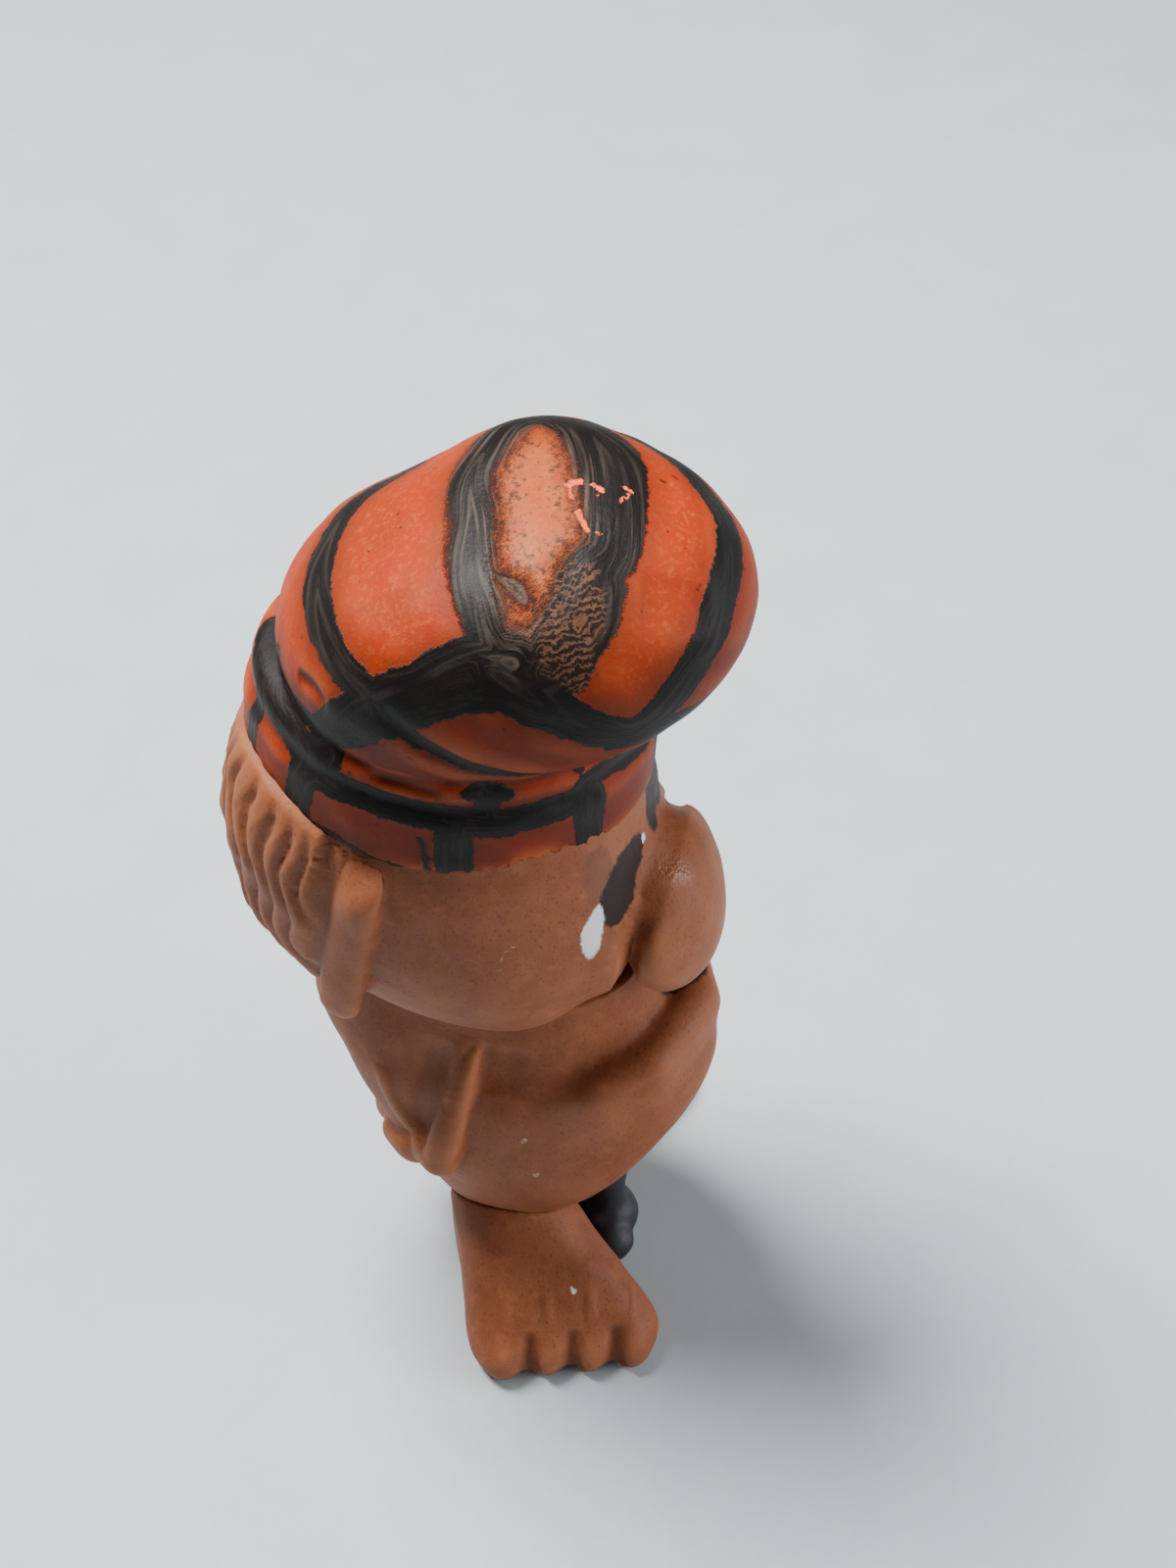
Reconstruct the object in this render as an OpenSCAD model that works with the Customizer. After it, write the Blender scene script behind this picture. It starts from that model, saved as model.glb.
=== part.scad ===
// Bubbling ornament for a tank: a small hollow soft-vinyl gnome in a checked tam.
// The figure faces -Y, its right side is -X, and it stands on the plane z = 0.
// The head turns on a plug-in neck, and air comes in through the black elbow between the feet.

/* [Head] */
// Half width of the skull between the ears
head_half_w = 14.2; // [13.6:0.1:15]
// Half depth of the skull from the forehead to the nape
head_half_d = 16; // [15.4:0.1:16.8]
// Half height of the skull, crown under the cap included
head_half_h = 16.4; // [15.8:0.1:17]
// Height of the seam between the shoulders and the head
seam_z = 38; // [36.5:0.5:39.5]
// Height of the skull's centre above the seam
head_rise = 14.6; // [14.2:0.1:15]
// Wall of the vinyl mouldings
wall = 1.8; // [1.5:0.1:2]
// How far the cheeks swell out
cheek_swell = 2.4; // [1.6:0.1:2.8]
// Half width of the nose
nose_half_w = 5.2; // [4.6:0.1:5.6]
// Half height of the nose
nose_half_h = 7.7; // [7:0.1:8]
// Length of an ear from under the band to its rounded end
ear_l = 18.5; // [17:0.5:19.5]
// Width of an ear at its lower end
ear_w = 5; // [4.4:0.2:5.4]
// Thickness of an ear
ear_t = 2.4; // [2:0.2:2.8]
// Locks of hair from ear to ear
hair_locks = 9; // [5:2:11]
// Thickness of a lock of hair
lock_r = 1.3; // [1:0.1:1.5]

/* [Cap] */
// Half width of the puffed crown of the tam
crown_half_w = 14.4; // [13.8:0.1:15.2]
// Half depth of the puffed crown
crown_half_d = 16.6; // [16:0.1:17.4]
// Half height of the puffed crown
crown_half_h = 10; // [9.4:0.1:10.6]
// Height of the band round the head
band_h = 6.4; // [5.4:0.1:7]
// Height of the rolled fold between the band and the crown
fold_h = 2.6; // [2:0.2:3]
// How far the band dips toward the forehead
band_tilt = 7; // [5:0.5:9]

/* [Body] */
// Height of the underside of the belly
leg_h = 9; // [8.5:0.1:9.5]
// Largest half width of the belly
belly_half_w = 12.4; // [11.8:0.1:13]
// Radius of the rim round the top of the belly
rim_r = 2.2; // [1.8:0.1:2.5]
// How far the rim runs down into the belly
rim_fall = 7; // [5:0.5:8]
// Radius of an elbow
arm_r = 1.7; // [1.5:0.1:2]
// Width of a foot across the toes
foot_w = 16; // [15:0.1:16.6]
// Length of a foot from the middle of the heel to the toes
foot_l = 12; // [11:0.1:12.4]
// Toes on each foot
toe_count = 4; // [4:1:5]
// How far the right foot is turned out
right_toe_out = 72; // [66:1:76]
// How far the left foot is turned out
left_toe_out = 80; // [74:1:84]

/* [Neck joint] */
// Radius of the neck journal that the head turns on
neck_r = 4.2; // [3.9:0.05:4.4]
// Running clearance on the radius between the journal and its bush
neck_clearance = 0.05; // [0.03:0.01:0.1]
// Play along the axis between the journal's shoulders and the bush
neck_play = 0.08; // [0.05:0.01:0.2]
// Radius of the flange that keeps the head on
neck_flange_r = 5.3; // [5:0.05:5.5]

/* [Air line] */
// Outside radius of the inlet spigot that the airline pushes over
spigot_r = 2.25; // [2.1:0.05:2.4]
// Free length of the inlet spigot
spigot_l = 8; // [7:0.5:9]
// Outside radius of the inner air tube
tube_r = 1.6; // [1.5:0.05:1.7]
// Radius of the air way through the tube and the inlet
air_r = 0.9; // [0.8:0.05:1]
// Radius of the bubble outlet under the nose
outlet_r = 1.3; // [1:0.1:1.5]
// Radius of the weight that keeps the figure on the bottom of the tank
ballast_r = 5.6; // [5:0.1:5.8]
// Height of the weight
ballast_h = 8; // [6:0.5:9]

/* [Hidden] */

skin = "#9a6444";
tam_orange = "#e8642f";
rubber_black = "#26252a";
bush_cream = "#c9b79a";
clear_vinyl = "#d9dcd2";
stone_grey = "#b9b4a6";
steel_grey = "#8d9196";

fit = 0.05;             // clearance of a part that is pushed into a hole
big = 80;               // larger than the whole figure
fine = 64;              // sides of an exact round surface
tube_sides = 16;        // sides of the soft inner tube
skull_mesh = [38, 24];  // sides round the skull and rings up it
crown_mesh = [40, 22];
torso_mesh = [36, 18];
room_mesh = [20, 12];   // the same for the rooms inside them

head_c = [0, 3.4, seam_z + head_rise];
head_power = 2.35;
nose_c = head_c + [0, -(head_half_d + 1.1), -7.6];
nose_half_d = 4.8;
cap_c = head_c + [0, -5.6, head_half_h + 4];
band_c = head_c + [0, -1.2, head_half_h - 7];
band_half = [head_half_w - 0.2, head_half_d - 0.4];
ear_foot = head_c + [head_half_w - 1, 6, -10];     // centre of the rounded end of the left ear
ear_lean = [0.1, -0.26, 0.96];          // way that the ear runs up under the band

shoulder_z = seam_z - 0.4;      // top of the body
shoulder_front = -12;
shoulder_back = 14.4;
hand_drop = 22;                 // from the shoulders down to the hands
head_floor = seam_z + 2;        // inside floor of the head
cavity_floor = leg_h + 3.5;     // inside floor of the body
cavity_top = shoulder_z - 2.2;

bush_r = neck_r + 1.4;
bush_collar_r = bush_r + 1;
bush_top = head_floor + 1;
plug_r = neck_r + 1;

corner = [-2.6, -8.5, 3];       // centre of the elbow's rounded corner
corner_r = 3;
spigot_root = sqrt(pow(corner_r, 2) - pow(spigot_r, 2));   // where the spigot leaves the corner
stem_r = spigot_root - 0.1;     // keeps the stem out of the way of a pushed-on airline
stem_top = cavity_floor + 2;
knob = [-2.4, -0.9, -0.7];      // centre of the knob on the corner, from the corner
knob_r = 2.2;
nipple_r = air_r + 0.35;
nipple_l = 1.6;
spigot_lead = 0.5;              // tapered end of the spigot
stone_r = 3.2;                  // outside radius of the diffuser stone
stone_h = 7;
sole_cut = 0.4;                 // taken off under the feet to leave flat soles
heel_r = 5;
big_toe_edge = 10.8;            // inner edge of the toes from the line through the ankle
ankle_r = 4.8;
channel_half_w = 3.3;           // half the room for a pushed-on airline between the heels

/* ---- rules that the shapes follow ---- */

// Unit vector at longitude lon (0 is the front, -90 the figure's right) and latitude lat.
function heading(lon, lat) = [sin(lon) * cos(lat), -cos(lon) * cos(lat), sin(lat)];

// Distance from the centre of a rounded box of the given half sizes to its skin.
function shell_r(d, half, power) =
    let (x = abs(d.x) / half.x, y = abs(d.y) / half.y, z = abs(d.z) / half.z)
    pow(pow(x, power) + pow(y, power) + pow(z, power), -1 / power);

// Sum of soft swellings, each [heading, height, sharpness].
function swell(d, bumps, i = 0) =
    i >= len(bumps) ? 0 : bumps[i][1] * exp(bumps[i][2] * (d * bumps[i][0] - 1)) + swell(d, bumps, i + 1);

// Value between stations b and c at t, on a smooth curve that also heeds a and d.
function glide(a, b, c, d, t) =
    0.5 * (2 * b + (c - a) * t + (2 * a - 5 * b + 4 * c - d) * t * t + (3 * b - a - 3 * c + d) * t * t * t);

// Station at position s along a list of stations.
function station(list, s) =
    let (n = len(list) - 1, i = min(floor(s), n - 1))
    glide(list[max(i - 1, 0)], list[i], list[i + 1], list[min(i + 2, n)], s - i);

// Closed skin over rings of points, from the lowest ring to the highest, with a point at each end.
module skin_over(rings, low, high) {
    n = len(rings[0]);
    m = len(rings);
    top_ring = 2 + (m - 1) * n;
    sides = [for (j = [0:m - 2], i = [0:n - 1])
        let (a = 2 + j * n + i, b = 2 + j * n + (i + 1) % n)
        each [[a, a + n, b + n], [a, b + n, b]]];
    ends = [for (i = [0:n - 1])
        each [[0, 2 + i, 2 + (i + 1) % n], [1, top_ring + (i + 1) % n, top_ring + i]]];
    polyhedron(concat([low, high], [for (ring = rings) each ring]), concat(sides, ends), convexity = 6);
}

// Rounded box grown about its centre with soft swellings.
module swollen(half, power, bumps, mesh) {
    around = mesh[0];
    up = mesh[1];
    reach = function(d) shell_r(d, half, power) + swell(d, bumps);
    rings = [for (j = [1:up - 1])
        [for (i = [0:around - 1])
            let (d = heading(360 * i / around, 180 * j / up - 90))
            d * reach(d)]];
    skin_over(rings, [0, 0, -reach([0, 0, -1])], [0, 0, reach([0, 0, 1])]);
}

// Closed loft with flat ends through stations [z, front, back, half width], lowest first.
module loft(stations, mesh, power) {
    around = mesh[0];
    steps = mesh[1];
    n = len(stations) - 1;
    middle = function(s) [0, (s[1] + s[2]) / 2, s[0]];
    rings = [for (j = [0:steps])
        let (s = station(stations, n * j / steps))
        [for (i = [0:around - 1])
            let (d = heading(360 * i / around, 0), r = shell_r(d, [s[3], (s[2] - s[1]) / 2, 1], power))
            middle(s) + r * d]];
    skin_over(rings, middle(stations[0]), middle(stations[n]));
}

// One closed moulding out of overlapping soft shapes.
module moulded() { resize([0, 0, 0]) union() children(); }

// Limb between two points with its own radius at each end.
module limb(from, to, r1, r2, sides) {
    hull() {
        translate(from) sphere(r1, $fn = sides);
        translate(to) sphere(r2, $fn = sides);
    }
}

// Row of limbs through a list of points.
module limbs(points, radii, sides) {
    for (i = [0:len(points) - 2])
        limb(points[i], points[i + 1], radii[i], radii[i + 1], sides);
}

// Rounded lump with its own half sizes and turn.
module lump(at, half, turn = [0, 0, 0], sides = 18) {
    translate(at) rotate(turn) scale(half) sphere(1, $fn = sides);
}

/* ---- head ---- */

cheeks = [for (side = [-1, 1]) [heading(side * 52, -40), cheek_swell, 6]];

// Skull grown outward everywhere by the given amount.
module skull(grow) {
    half = [head_half_w + grow, head_half_d + grow, head_half_h + grow];
    translate(head_c) swollen(half, head_power, cheeks, skull_mesh);
}

// Room inside the head, with a flat floor round the neck.
module head_room() {
    inner = [head_half_w - wall, head_half_d - wall, head_half_h - wall];
    intersection() {
        translate(head_c) swollen(inner, head_power, cheeks, room_mesh);
        translate([0, 0, head_floor + big / 2]) cube(big, center = true);
    }
    translate([0, 0, head_floor]) cylinder(r = bush_collar_r + 0.3, h = 4, $fn = 40);
}

// Locks of hair that wave down the back of the head from under the band.
module hair() {
    first = 104;
    spread = 360 - 2 * first;
    for (i = [0:hair_locks - 1]) {
        lon = first + spread * i / (hair_locks - 1);
        wave = 2.2 * (i % 2 == 0 ? 1 : -1);
        path = [for (k = [0:4])
            let (d = heading(lon + wave * sin(150 * k), 28 - 18 * k))
            head_c + d * (shell_r(d, [head_half_w, head_half_d, head_half_h], head_power) - lock_r * 0.35)];
        limbs(path, [lock_r * 0.6, lock_r, lock_r, lock_r, lock_r * 0.7], 8);
    }
}

// Ear that hangs as a flat tab from under the band to a rounded end.
module ear() {
    facing = [0, 0, 25];
    top = ear_foot + ear_lean * (ear_l - ear_w / 2);
    hull() {
        lump(ear_foot, [ear_t / 2, ear_w / 2, ear_w / 2], facing, 14);
        lump(top, [ear_t / 2, ear_w * 0.36, ear_w * 0.36], facing, 12);
    }
}

module head() {
    color(skin) moulded() difference() {
        union() {
            skull(0);
            hair();
            lump(nose_c, [nose_half_w, nose_half_d, nose_half_h], [-8, 0, 0], 24);
            for (side = [-1, 1])
                mirror([side > 0 ? 0 : 1, 0, 0]) ear();
        }
        translate([0, 0, seam_z - big / 2]) cube(big, center = true);
        head_room();
        translate([0, 0, seam_z - 1]) cylinder(r = bush_r + fit, h = 4, $fn = fine);
        translate(head_c + [0, -9.4, -8.4]) rotate([110, 0, 0]) cylinder(r = outlet_r, h = 16, $fn = 24);
    }
}

/* ---- cap ---- */

crown_bumps = [[heading(0, 5), 2, 6], [heading(200, 40), -1.6, 6], [heading(0, -60), -1.5, 5],
               [heading(70, 48), 1.5, 7], [heading(135, 35), -1.3, 7]];

// Puffed crown, shrunk inward everywhere by the given amount.
module crown(shrink, mesh) {
    half = [crown_half_w - shrink, crown_half_d - shrink, crown_half_h - shrink];
    translate(cap_c) rotate([-9, 0, 0]) swollen(half, 2.2, crown_bumps, mesh);
}

// Band round the head, rounded at its lower edge, with a rolled fold on top of it under the crown.
module band() {
    low = -band_h / 2;
    high = band_h / 2;
    fold = high + fold_h;
    translate(band_c) rotate([band_tilt, 0, 0]) scale([band_half.x, band_half.y, 1])
        rotate_extrude($fn = 40)
            polygon([[0, low], [0.965, low], [0.99, low + 0.35], [1, low + 1], [0.985, high - 1.2],
                     [0.955, high - 0.3], [0.93, high], [0.945, high + 0.5], [0.95, high + 1.2],
                     [0.93, fold - 0.5], [0.88, fold], [0, fold]]);
}

module cap() {
    color(tam_orange) moulded() difference() {
        union() {
            crown(0, crown_mesh);
            band();
        }
        skull(fit);
        hair();
        crown(wall, room_mesh);
    }
}

/* ---- neck joint ---- */

// Ring fixed in the head's neck hole, which turns on the journal.
module neck_bush() {
    color(bush_cream) difference() {
        union() {
            translate([0, 0, seam_z]) cylinder(r = bush_r, h = bush_top - seam_z, $fn = fine);
            translate([0, 0, head_floor]) cylinder(r = bush_collar_r, h = bush_top - head_floor, $fn = fine);
        }
        translate([0, 0, seam_z - 1]) cylinder(r = neck_r + neck_clearance, h = 6, $fn = fine);
    }
}

// Plug pressed into the shoulders, with the journal and the flange that keeps the head on.
module neck_plug() {
    shoulder = seam_z - neck_play;
    flange = bush_top + neck_play;
    bore = tube_r + fit;
    color(skin) rotate_extrude($fn = fine)
        polygon([[bore, cavity_top], [plug_r - 0.4, cavity_top], [plug_r, cavity_top + 0.4],
                 [plug_r, shoulder_z], [plug_r + 1, shoulder_z], [plug_r + 1, shoulder],
                 [neck_r, shoulder], [neck_r, flange], [neck_flange_r, flange],
                 [neck_flange_r, flange + 0.5], [neck_r - 0.6, flange + 1.5], [bore, flange + 1.5]]);
}

/* ---- body ---- */

// Height at a share of the way from the underside of the belly to the shoulders.
function belly_z(share) = leg_h + share * (shoulder_z - leg_h);

body_stations = [
    [belly_z(0), -7, 6.5, 8],
    [belly_z(0.14), -11, 8.5, 10.8],
    [belly_z(0.32), -14.6, 10.5, belly_half_w],
    [belly_z(0.49), -17, 13.4, belly_half_w],
    [belly_z(0.65), -18, 15.2, belly_half_w - 0.5],
    [belly_z(0.79), -15.2, 16.4, 10.2],
    [shoulder_z, shoulder_front, shoulder_back, 8.8],
];

// Stations of the room inside the body.
room_stations = [
    for (i = [1:len(body_stations) - 1])
        let (s = body_stations[i], last = len(body_stations) - 1,
             z = i == 1 ? cavity_floor : (i == last ? cavity_top : s[0]))
        [z, s[1] + wall, s[2] - wall, s[3] - wall]
];

// Rim of the belly from the left side round to the front.
rim = [for (p = [[9.8, -5, -9.1], [9, -9.8, -7.8], [6.4, -13.6, -6.6], [0, -16.3, -5.6]])
    p + [0, 0, shoulder_z]];

// Back of the body at a height.
function body_back(z) = lookup(z, [for (s = body_stations) [s[0], s[2]]]);

// Rounded end of the left hand, which rests behind the back.
hand_z = shoulder_z - hand_drop;
hand = [2.4, body_back(hand_z) + 0.9, hand_z];

// Top, elbow and back of the left arm, which is folded flat against the side.
wrist = [5.4, body_back(hand_z + 2.5) - 0.8, hand_z + 2.5];
arm = [[9, -0.4, shoulder_z - 4], [12.7, 3, shoulder_z - 15.3], wrist];

module torso() { loft(body_stations, torso_mesh, 2.2); }

// Rounded rim on one side of the belly, run down into it.
module belly_rim() {
    radii = [rim_r * 0.6, rim_r, rim_r, rim_r];
    for (i = [0:len(rim) - 2])
        hull()
            for (j = [i, i + 1], fall = [0, 1])
                translate(rim[j] + fall * [-0.06 * rim[j].x, 0.7, -rim_fall]) sphere(radii[j], $fn = 12);
}

// Arm folded flat against the side, thick at the elbow.
module folded_arm() {
    radii = [arm_r * 0.6, arm_r, arm_r * 0.9];
    hull()
        for (i = [0:len(arm) - 1])
            translate(arm[i]) sphere(radii[i], $fn = 16);
}

module body() {
    color(skin) moulded() difference() {
        union() {
            torso();
            for (side = [0, 1])
                mirror([side, 0, 0]) {
                    belly_rim();
                    folded_arm();
                    lump(hand, [2.8, 2.2, 2.6]);
                }
        }
        loft(room_stations, room_mesh, 2.2);
        translate([0, 0, cavity_top - 1]) cylinder(r = plug_r + fit, h = 5, $fn = fine);
        translate([corner.x, corner.y, 0]) cylinder(r = stem_r + fit, h = stem_top, $fn = 40);
    }
}

/* ---- feet ---- */

// Room that a pushed-on airline takes between the heels.
module airline_channel() {
    translate([corner.x - channel_half_w, corner.y, -1]) cube([2 * channel_half_w, big, big]);
}

// Foot on one side, turned out by the given angle and set back by the given amount.
module foot(side, turn, back) {
    toe_pitch = foot_w / (toe_count + 0.3);
    toe_mid = big_toe_edge - foot_w / 2;
    toe_l = 2.8;
    toe_h = 2.4;
    color(skin) moulded() difference() {
        translate([side * 8, back - 2, -sole_cut]) mirror([side > 0 ? 1 : 0, 0, 0]) {
            hull() {
                translate([0, 1.4, heel_r]) sphere(heel_r, $fn = 20);
                translate([0.8, 1.7, leg_h + 2]) sphere(ankle_r, $fn = 20);
                translate([-1.5, -4.5, 6]) sphere(3, $fn = 16);
                rotate([0, 0, -turn])
                    for (edge = [-1, 1])
                        translate([toe_mid + edge * (foot_w / 2 - toe_h), toe_l + 0.6 - foot_l, toe_h + 0.2])
                            sphere(toe_h + 0.2, $fn = 16);
            }
            rotate([0, 0, -turn])
                for (i = [0:toe_count - 1])
                    lump([toe_mid + (i - (toe_count - 1) / 2) * toe_pitch, toe_l - foot_l, toe_h],
                         [toe_pitch * 0.56, toe_l, toe_h], sides = 18);
        }
        torso();
        airline_channel();
        translate([0, 0, -big / 2]) cube(big, center = true);
    }
}

module right_foot() { foot(-1, right_toe_out, 0); }

module left_foot() { foot(1, left_toe_out, 2); }

/* ---- air line and weight ---- */

// Black rubber elbow: spigot along the floor, rounded corner and stem up into the body.
module air_inlet() {
    spigot_end = spigot_root + spigot_l;
    color(rubber_black) translate(corner) difference() {
        union() {
            sphere(corner_r, $fn = fine);
            translate(knob) sphere(knob_r, $fn = fine);
            cylinder(r = stem_r, h = stem_top - corner.z, $fn = fine);
            cylinder(r = nipple_r, h = stem_top - corner.z + nipple_l, $fn = fine);
            rotate([-90, 0, 0]) cylinder(r = spigot_r, h = spigot_end, $fn = fine);
            translate([0, spigot_end, 0]) rotate([-90, 0, 0])
                cylinder(r1 = spigot_r, r2 = spigot_r - spigot_lead, h = spigot_lead, $fn = fine);
        }
        cylinder(r = air_r, h = big, $fn = fine);
        rotate([-90, 0, 0]) cylinder(r = air_r, h = big, $fn = fine);
    }
}

// Soft tube from the inlet's nipple, over two equal bends to the neck axis and up into the head.
module air_tube() {
    bend_r = 7;
    aside = norm([corner.x, corner.y]);
    bend = acos(1 - aside / (2 * bend_r));
    start = nipple_l + 0.6;
    leans = [for (k = [0:8]) bend * k / 8];
    out_bend = [for (t = leans) [bend_r * (1 - cos(t)), start + bend_r * sin(t), t]];
    back_bend = [for (t = leans) if (t < bend)
        [aside - bend_r * (1 - cos(t)), start + bend_r * (2 * sin(bend) - sin(t)), t]];
    top = [aside, bush_top + 4.5 - stem_top, 0];
    stops = concat([[0, 0, 0]], out_bend, [for (k = [len(back_bend) - 1:-1:0]) back_bend[k]], [top]);
    rings = [for (s = stops)
        [for (i = [0:tube_sides - 1])
            let (a = 360 * i / tube_sides)
            [s[0] + tube_r * cos(a) * cos(s[2]), tube_r * sin(a), s[1] - tube_r * cos(a) * sin(s[2])]]];
    color(clear_vinyl) translate([corner.x, corner.y, stem_top]) rotate([0, 0, atan2(-corner.y, -corner.x)])
        moulded() difference() {
            skin_over(rings, [0, 0, 0], [top[0], 0, top[1]]);
            translate([0, 0, -1]) cylinder(r = nipple_r + 2 * fit, h = 1 + nipple_l + 0.2, $fn = tube_sides);
        }
}

// Porous stone on the end of the tube that breaks the air into bubbles.
module diffuser() {
    color(stone_grey) translate([0, 0, bush_top + 2.5]) difference() {
        rotate_extrude($fn = fine)
            polygon([[0, 0], [stone_r - 0.4, 0], [stone_r, 0.4], [stone_r, stone_h - 0.4],
                     [stone_r - 0.4, stone_h], [0, stone_h]]);
        translate([0, 0, -1]) cylinder(r = tube_r + fit, h = 3 + fit, $fn = fine);
    }
}

// Steel weight on the floor of the body.
module ballast() {
    color(steel_grey) translate([1, 0.4, cavity_floor]) rotate_extrude($fn = fine)
        polygon([[0, 0], [ballast_r - 0.4, 0], [ballast_r, 0.4], [ballast_r, ballast_h - 0.4],
                 [ballast_r - 0.4, ballast_h], [0, ballast_h]]);
}

cap();
head();
neck_bush();
neck_plug();
body();
right_foot();
left_foot();
air_inlet();
air_tube();
diffuser();
ballast();
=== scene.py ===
"""Bubbling ornament for a tank: a soft-vinyl gnome in a hand-painted checked tam.

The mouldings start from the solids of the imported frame. Each is remeshed finely, settled on the smooth
forms behind the solids' facets, sculpted in code and painted through signed distances to its brush strokes.
Lengths are worked in millimetres and written to the meshes in metres.
"""

import logging
import math
from dataclasses import dataclass, field, replace
from enum import Enum

import bmesh
import bpy
import numpy as np
from mathutils import Matrix, Vector
from mathutils.bvhtree import BVHTree


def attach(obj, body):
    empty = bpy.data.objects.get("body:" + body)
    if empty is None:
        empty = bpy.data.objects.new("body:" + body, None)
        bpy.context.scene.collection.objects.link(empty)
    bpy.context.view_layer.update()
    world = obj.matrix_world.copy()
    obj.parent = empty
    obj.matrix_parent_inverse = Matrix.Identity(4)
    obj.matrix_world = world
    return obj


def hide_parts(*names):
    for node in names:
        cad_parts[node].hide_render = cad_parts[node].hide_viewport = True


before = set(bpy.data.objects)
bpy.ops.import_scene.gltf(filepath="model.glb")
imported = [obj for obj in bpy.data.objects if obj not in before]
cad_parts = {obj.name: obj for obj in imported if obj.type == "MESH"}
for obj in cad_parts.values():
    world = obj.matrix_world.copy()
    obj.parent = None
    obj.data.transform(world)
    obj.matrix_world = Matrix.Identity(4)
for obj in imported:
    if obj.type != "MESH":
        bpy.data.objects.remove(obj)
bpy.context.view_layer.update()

log = logging.getLogger("ornament")

Piece = bpy.types.Object
Material = bpy.types.Material
Tree = bpy.types.NodeTree
Node = bpy.types.Node
Source = Node | bpy.types.NodeSocket        # what a link can come from
Nodes = dict[str, Source]

MM = 0.001
SEED = 7
FAR = 9.0           # distance in mm that stands for "no paint near here"
OUTSIDE = 40        # distance in mm from a form's middle that is outside every piece
NECK_RADIUS = 8     # mm, all within it is left to the neck joint
SAME_PLACE = 2e-6   # m, corners of a solid that are closer are one


# ---------------------------------------------------------------- small tools

def linear(hex_colour: str) -> tuple[float, float, float, float]:
    """Turn an sRGB hex colour to linear.

    Args:
        hex_colour: Six hex digits with or without a leading #.

    Returns:
        Linear red, green, blue and an alpha of 1.
    """
    digits = hex_colour.lstrip("#")
    parts = [int(digits[i:i + 2], 16) / 255 for i in (0, 2, 4)]
    lit = [c / 12.92 if c <= 0.04045 else ((c + 0.055) / 1.055) ** 2.4 for c in parts]
    return lit[0], lit[1], lit[2], 1.0


def add_node(tree: Tree, kind: str, settings: dict | None = None, links: dict | None = None) -> Node:
    """Add a shader node with its settings and links.

    Args:
        tree: Node tree that gets the node.
        kind: Blender's type name of the node, without ShaderNode before it.
        settings: Values by input socket (name or number) or by property name.
        links: What each input socket is linked to: an output socket, or a node, which gives its Fac or else
            the first output that it has in use.

    Returns:
        The new node.
    """
    node = tree.nodes.new(f"ShaderNode{kind}")
    for key, value in (settings or {}).items():
        if isinstance(key, int) or key in node.inputs:
            node.inputs[key].default_value = value
        else:
            setattr(node, key, value)
    for key, source in (links or {}).items():
        if isinstance(source, Node):
            source = source.outputs.get("Fac") or next(output for output in source.outputs if output.enabled)
        tree.links.new(source, node.inputs[key])
    return node


def unit(vectors: np.ndarray) -> np.ndarray:
    """Vectors scaled to length 1 along the last axis."""
    return vectors / np.maximum(np.linalg.norm(vectors, axis=-1, keepdims=True), 1e-12)


def heading(lon: np.ndarray | float, lat: np.ndarray | float) -> np.ndarray:
    """Unit vectors at a longitude (0 is the front, -90 the figure's right) and latitude in degrees."""
    a, b = np.radians(lon), np.radians(lat)
    return np.stack([np.sin(a) * np.cos(b), -np.cos(a) * np.cos(b), np.sin(b) + 0 * a], axis=-1)


def ease(values: np.ndarray, low: float, high: float) -> np.ndarray:
    """Smooth step from 0 at low to 1 at high."""
    t = np.clip((values - low) / (high - low), 0, 1)
    return t * t * (3 - 2 * t)


def tilt_x(points: np.ndarray, degrees: float) -> np.ndarray:
    """Points turned about the X axis."""
    a = math.radians(degrees)
    turn = np.array([[1, 0, 0], [0, math.cos(a), -math.sin(a)], [0, math.sin(a), math.cos(a)]])
    return points @ turn.T


def ripple(points: np.ndarray, size: float, seed: int = 0, waves: int = 14) -> np.ndarray:
    """Soft random field, as hand-shaped clay has.

    Args:
        points: Places in mm.
        size: Rough width of one swell in mm.
        seed: Picks the field.
        waves: Sine waves that are added up.

    Returns:
        One value for each place, mostly between -1 and 1.
    """
    draw = np.random.default_rng(SEED + seed)
    ways = unit(draw.normal(size=(waves, 3)))
    lengths = size * draw.uniform(1.4, 3.0, waves)
    turns = draw.uniform(0, 2 * math.pi, waves)
    field_sum = np.zeros(len(points))
    for way, length, turn in zip(ways, lengths, turns):
        field_sum += np.sin(points @ way * (2 * math.pi / length) + turn)
    return field_sum / math.sqrt(waves / 2) / 1.6


def glide(stops: np.ndarray, steps: int) -> np.ndarray:
    """Catmull-Rom curve through rows of numbers.

    Args:
        stops: One row for each stop.
        steps: Samples between two stops.

    Returns:
        Rows along the curve, both ends included.
    """
    padded = np.vstack([2 * stops[0] - stops[1], stops, 2 * stops[-1] - stops[-2]])
    rows = []
    for i in range(1, len(padded) - 2):
        a, b, c, d = padded[i - 1:i + 3]
        for t in np.arange(steps) / steps:
            rows.append(0.5 * (2 * b + (c - a) * t + (2 * a - 5 * b + 4 * c - d) * t ** 2
                               + (3 * b - a - 3 * c + d) * t ** 3))
    rows.append(stops[-1])
    return np.array(rows)


# ---------------------------------------------------------------- forms behind the solids

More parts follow.
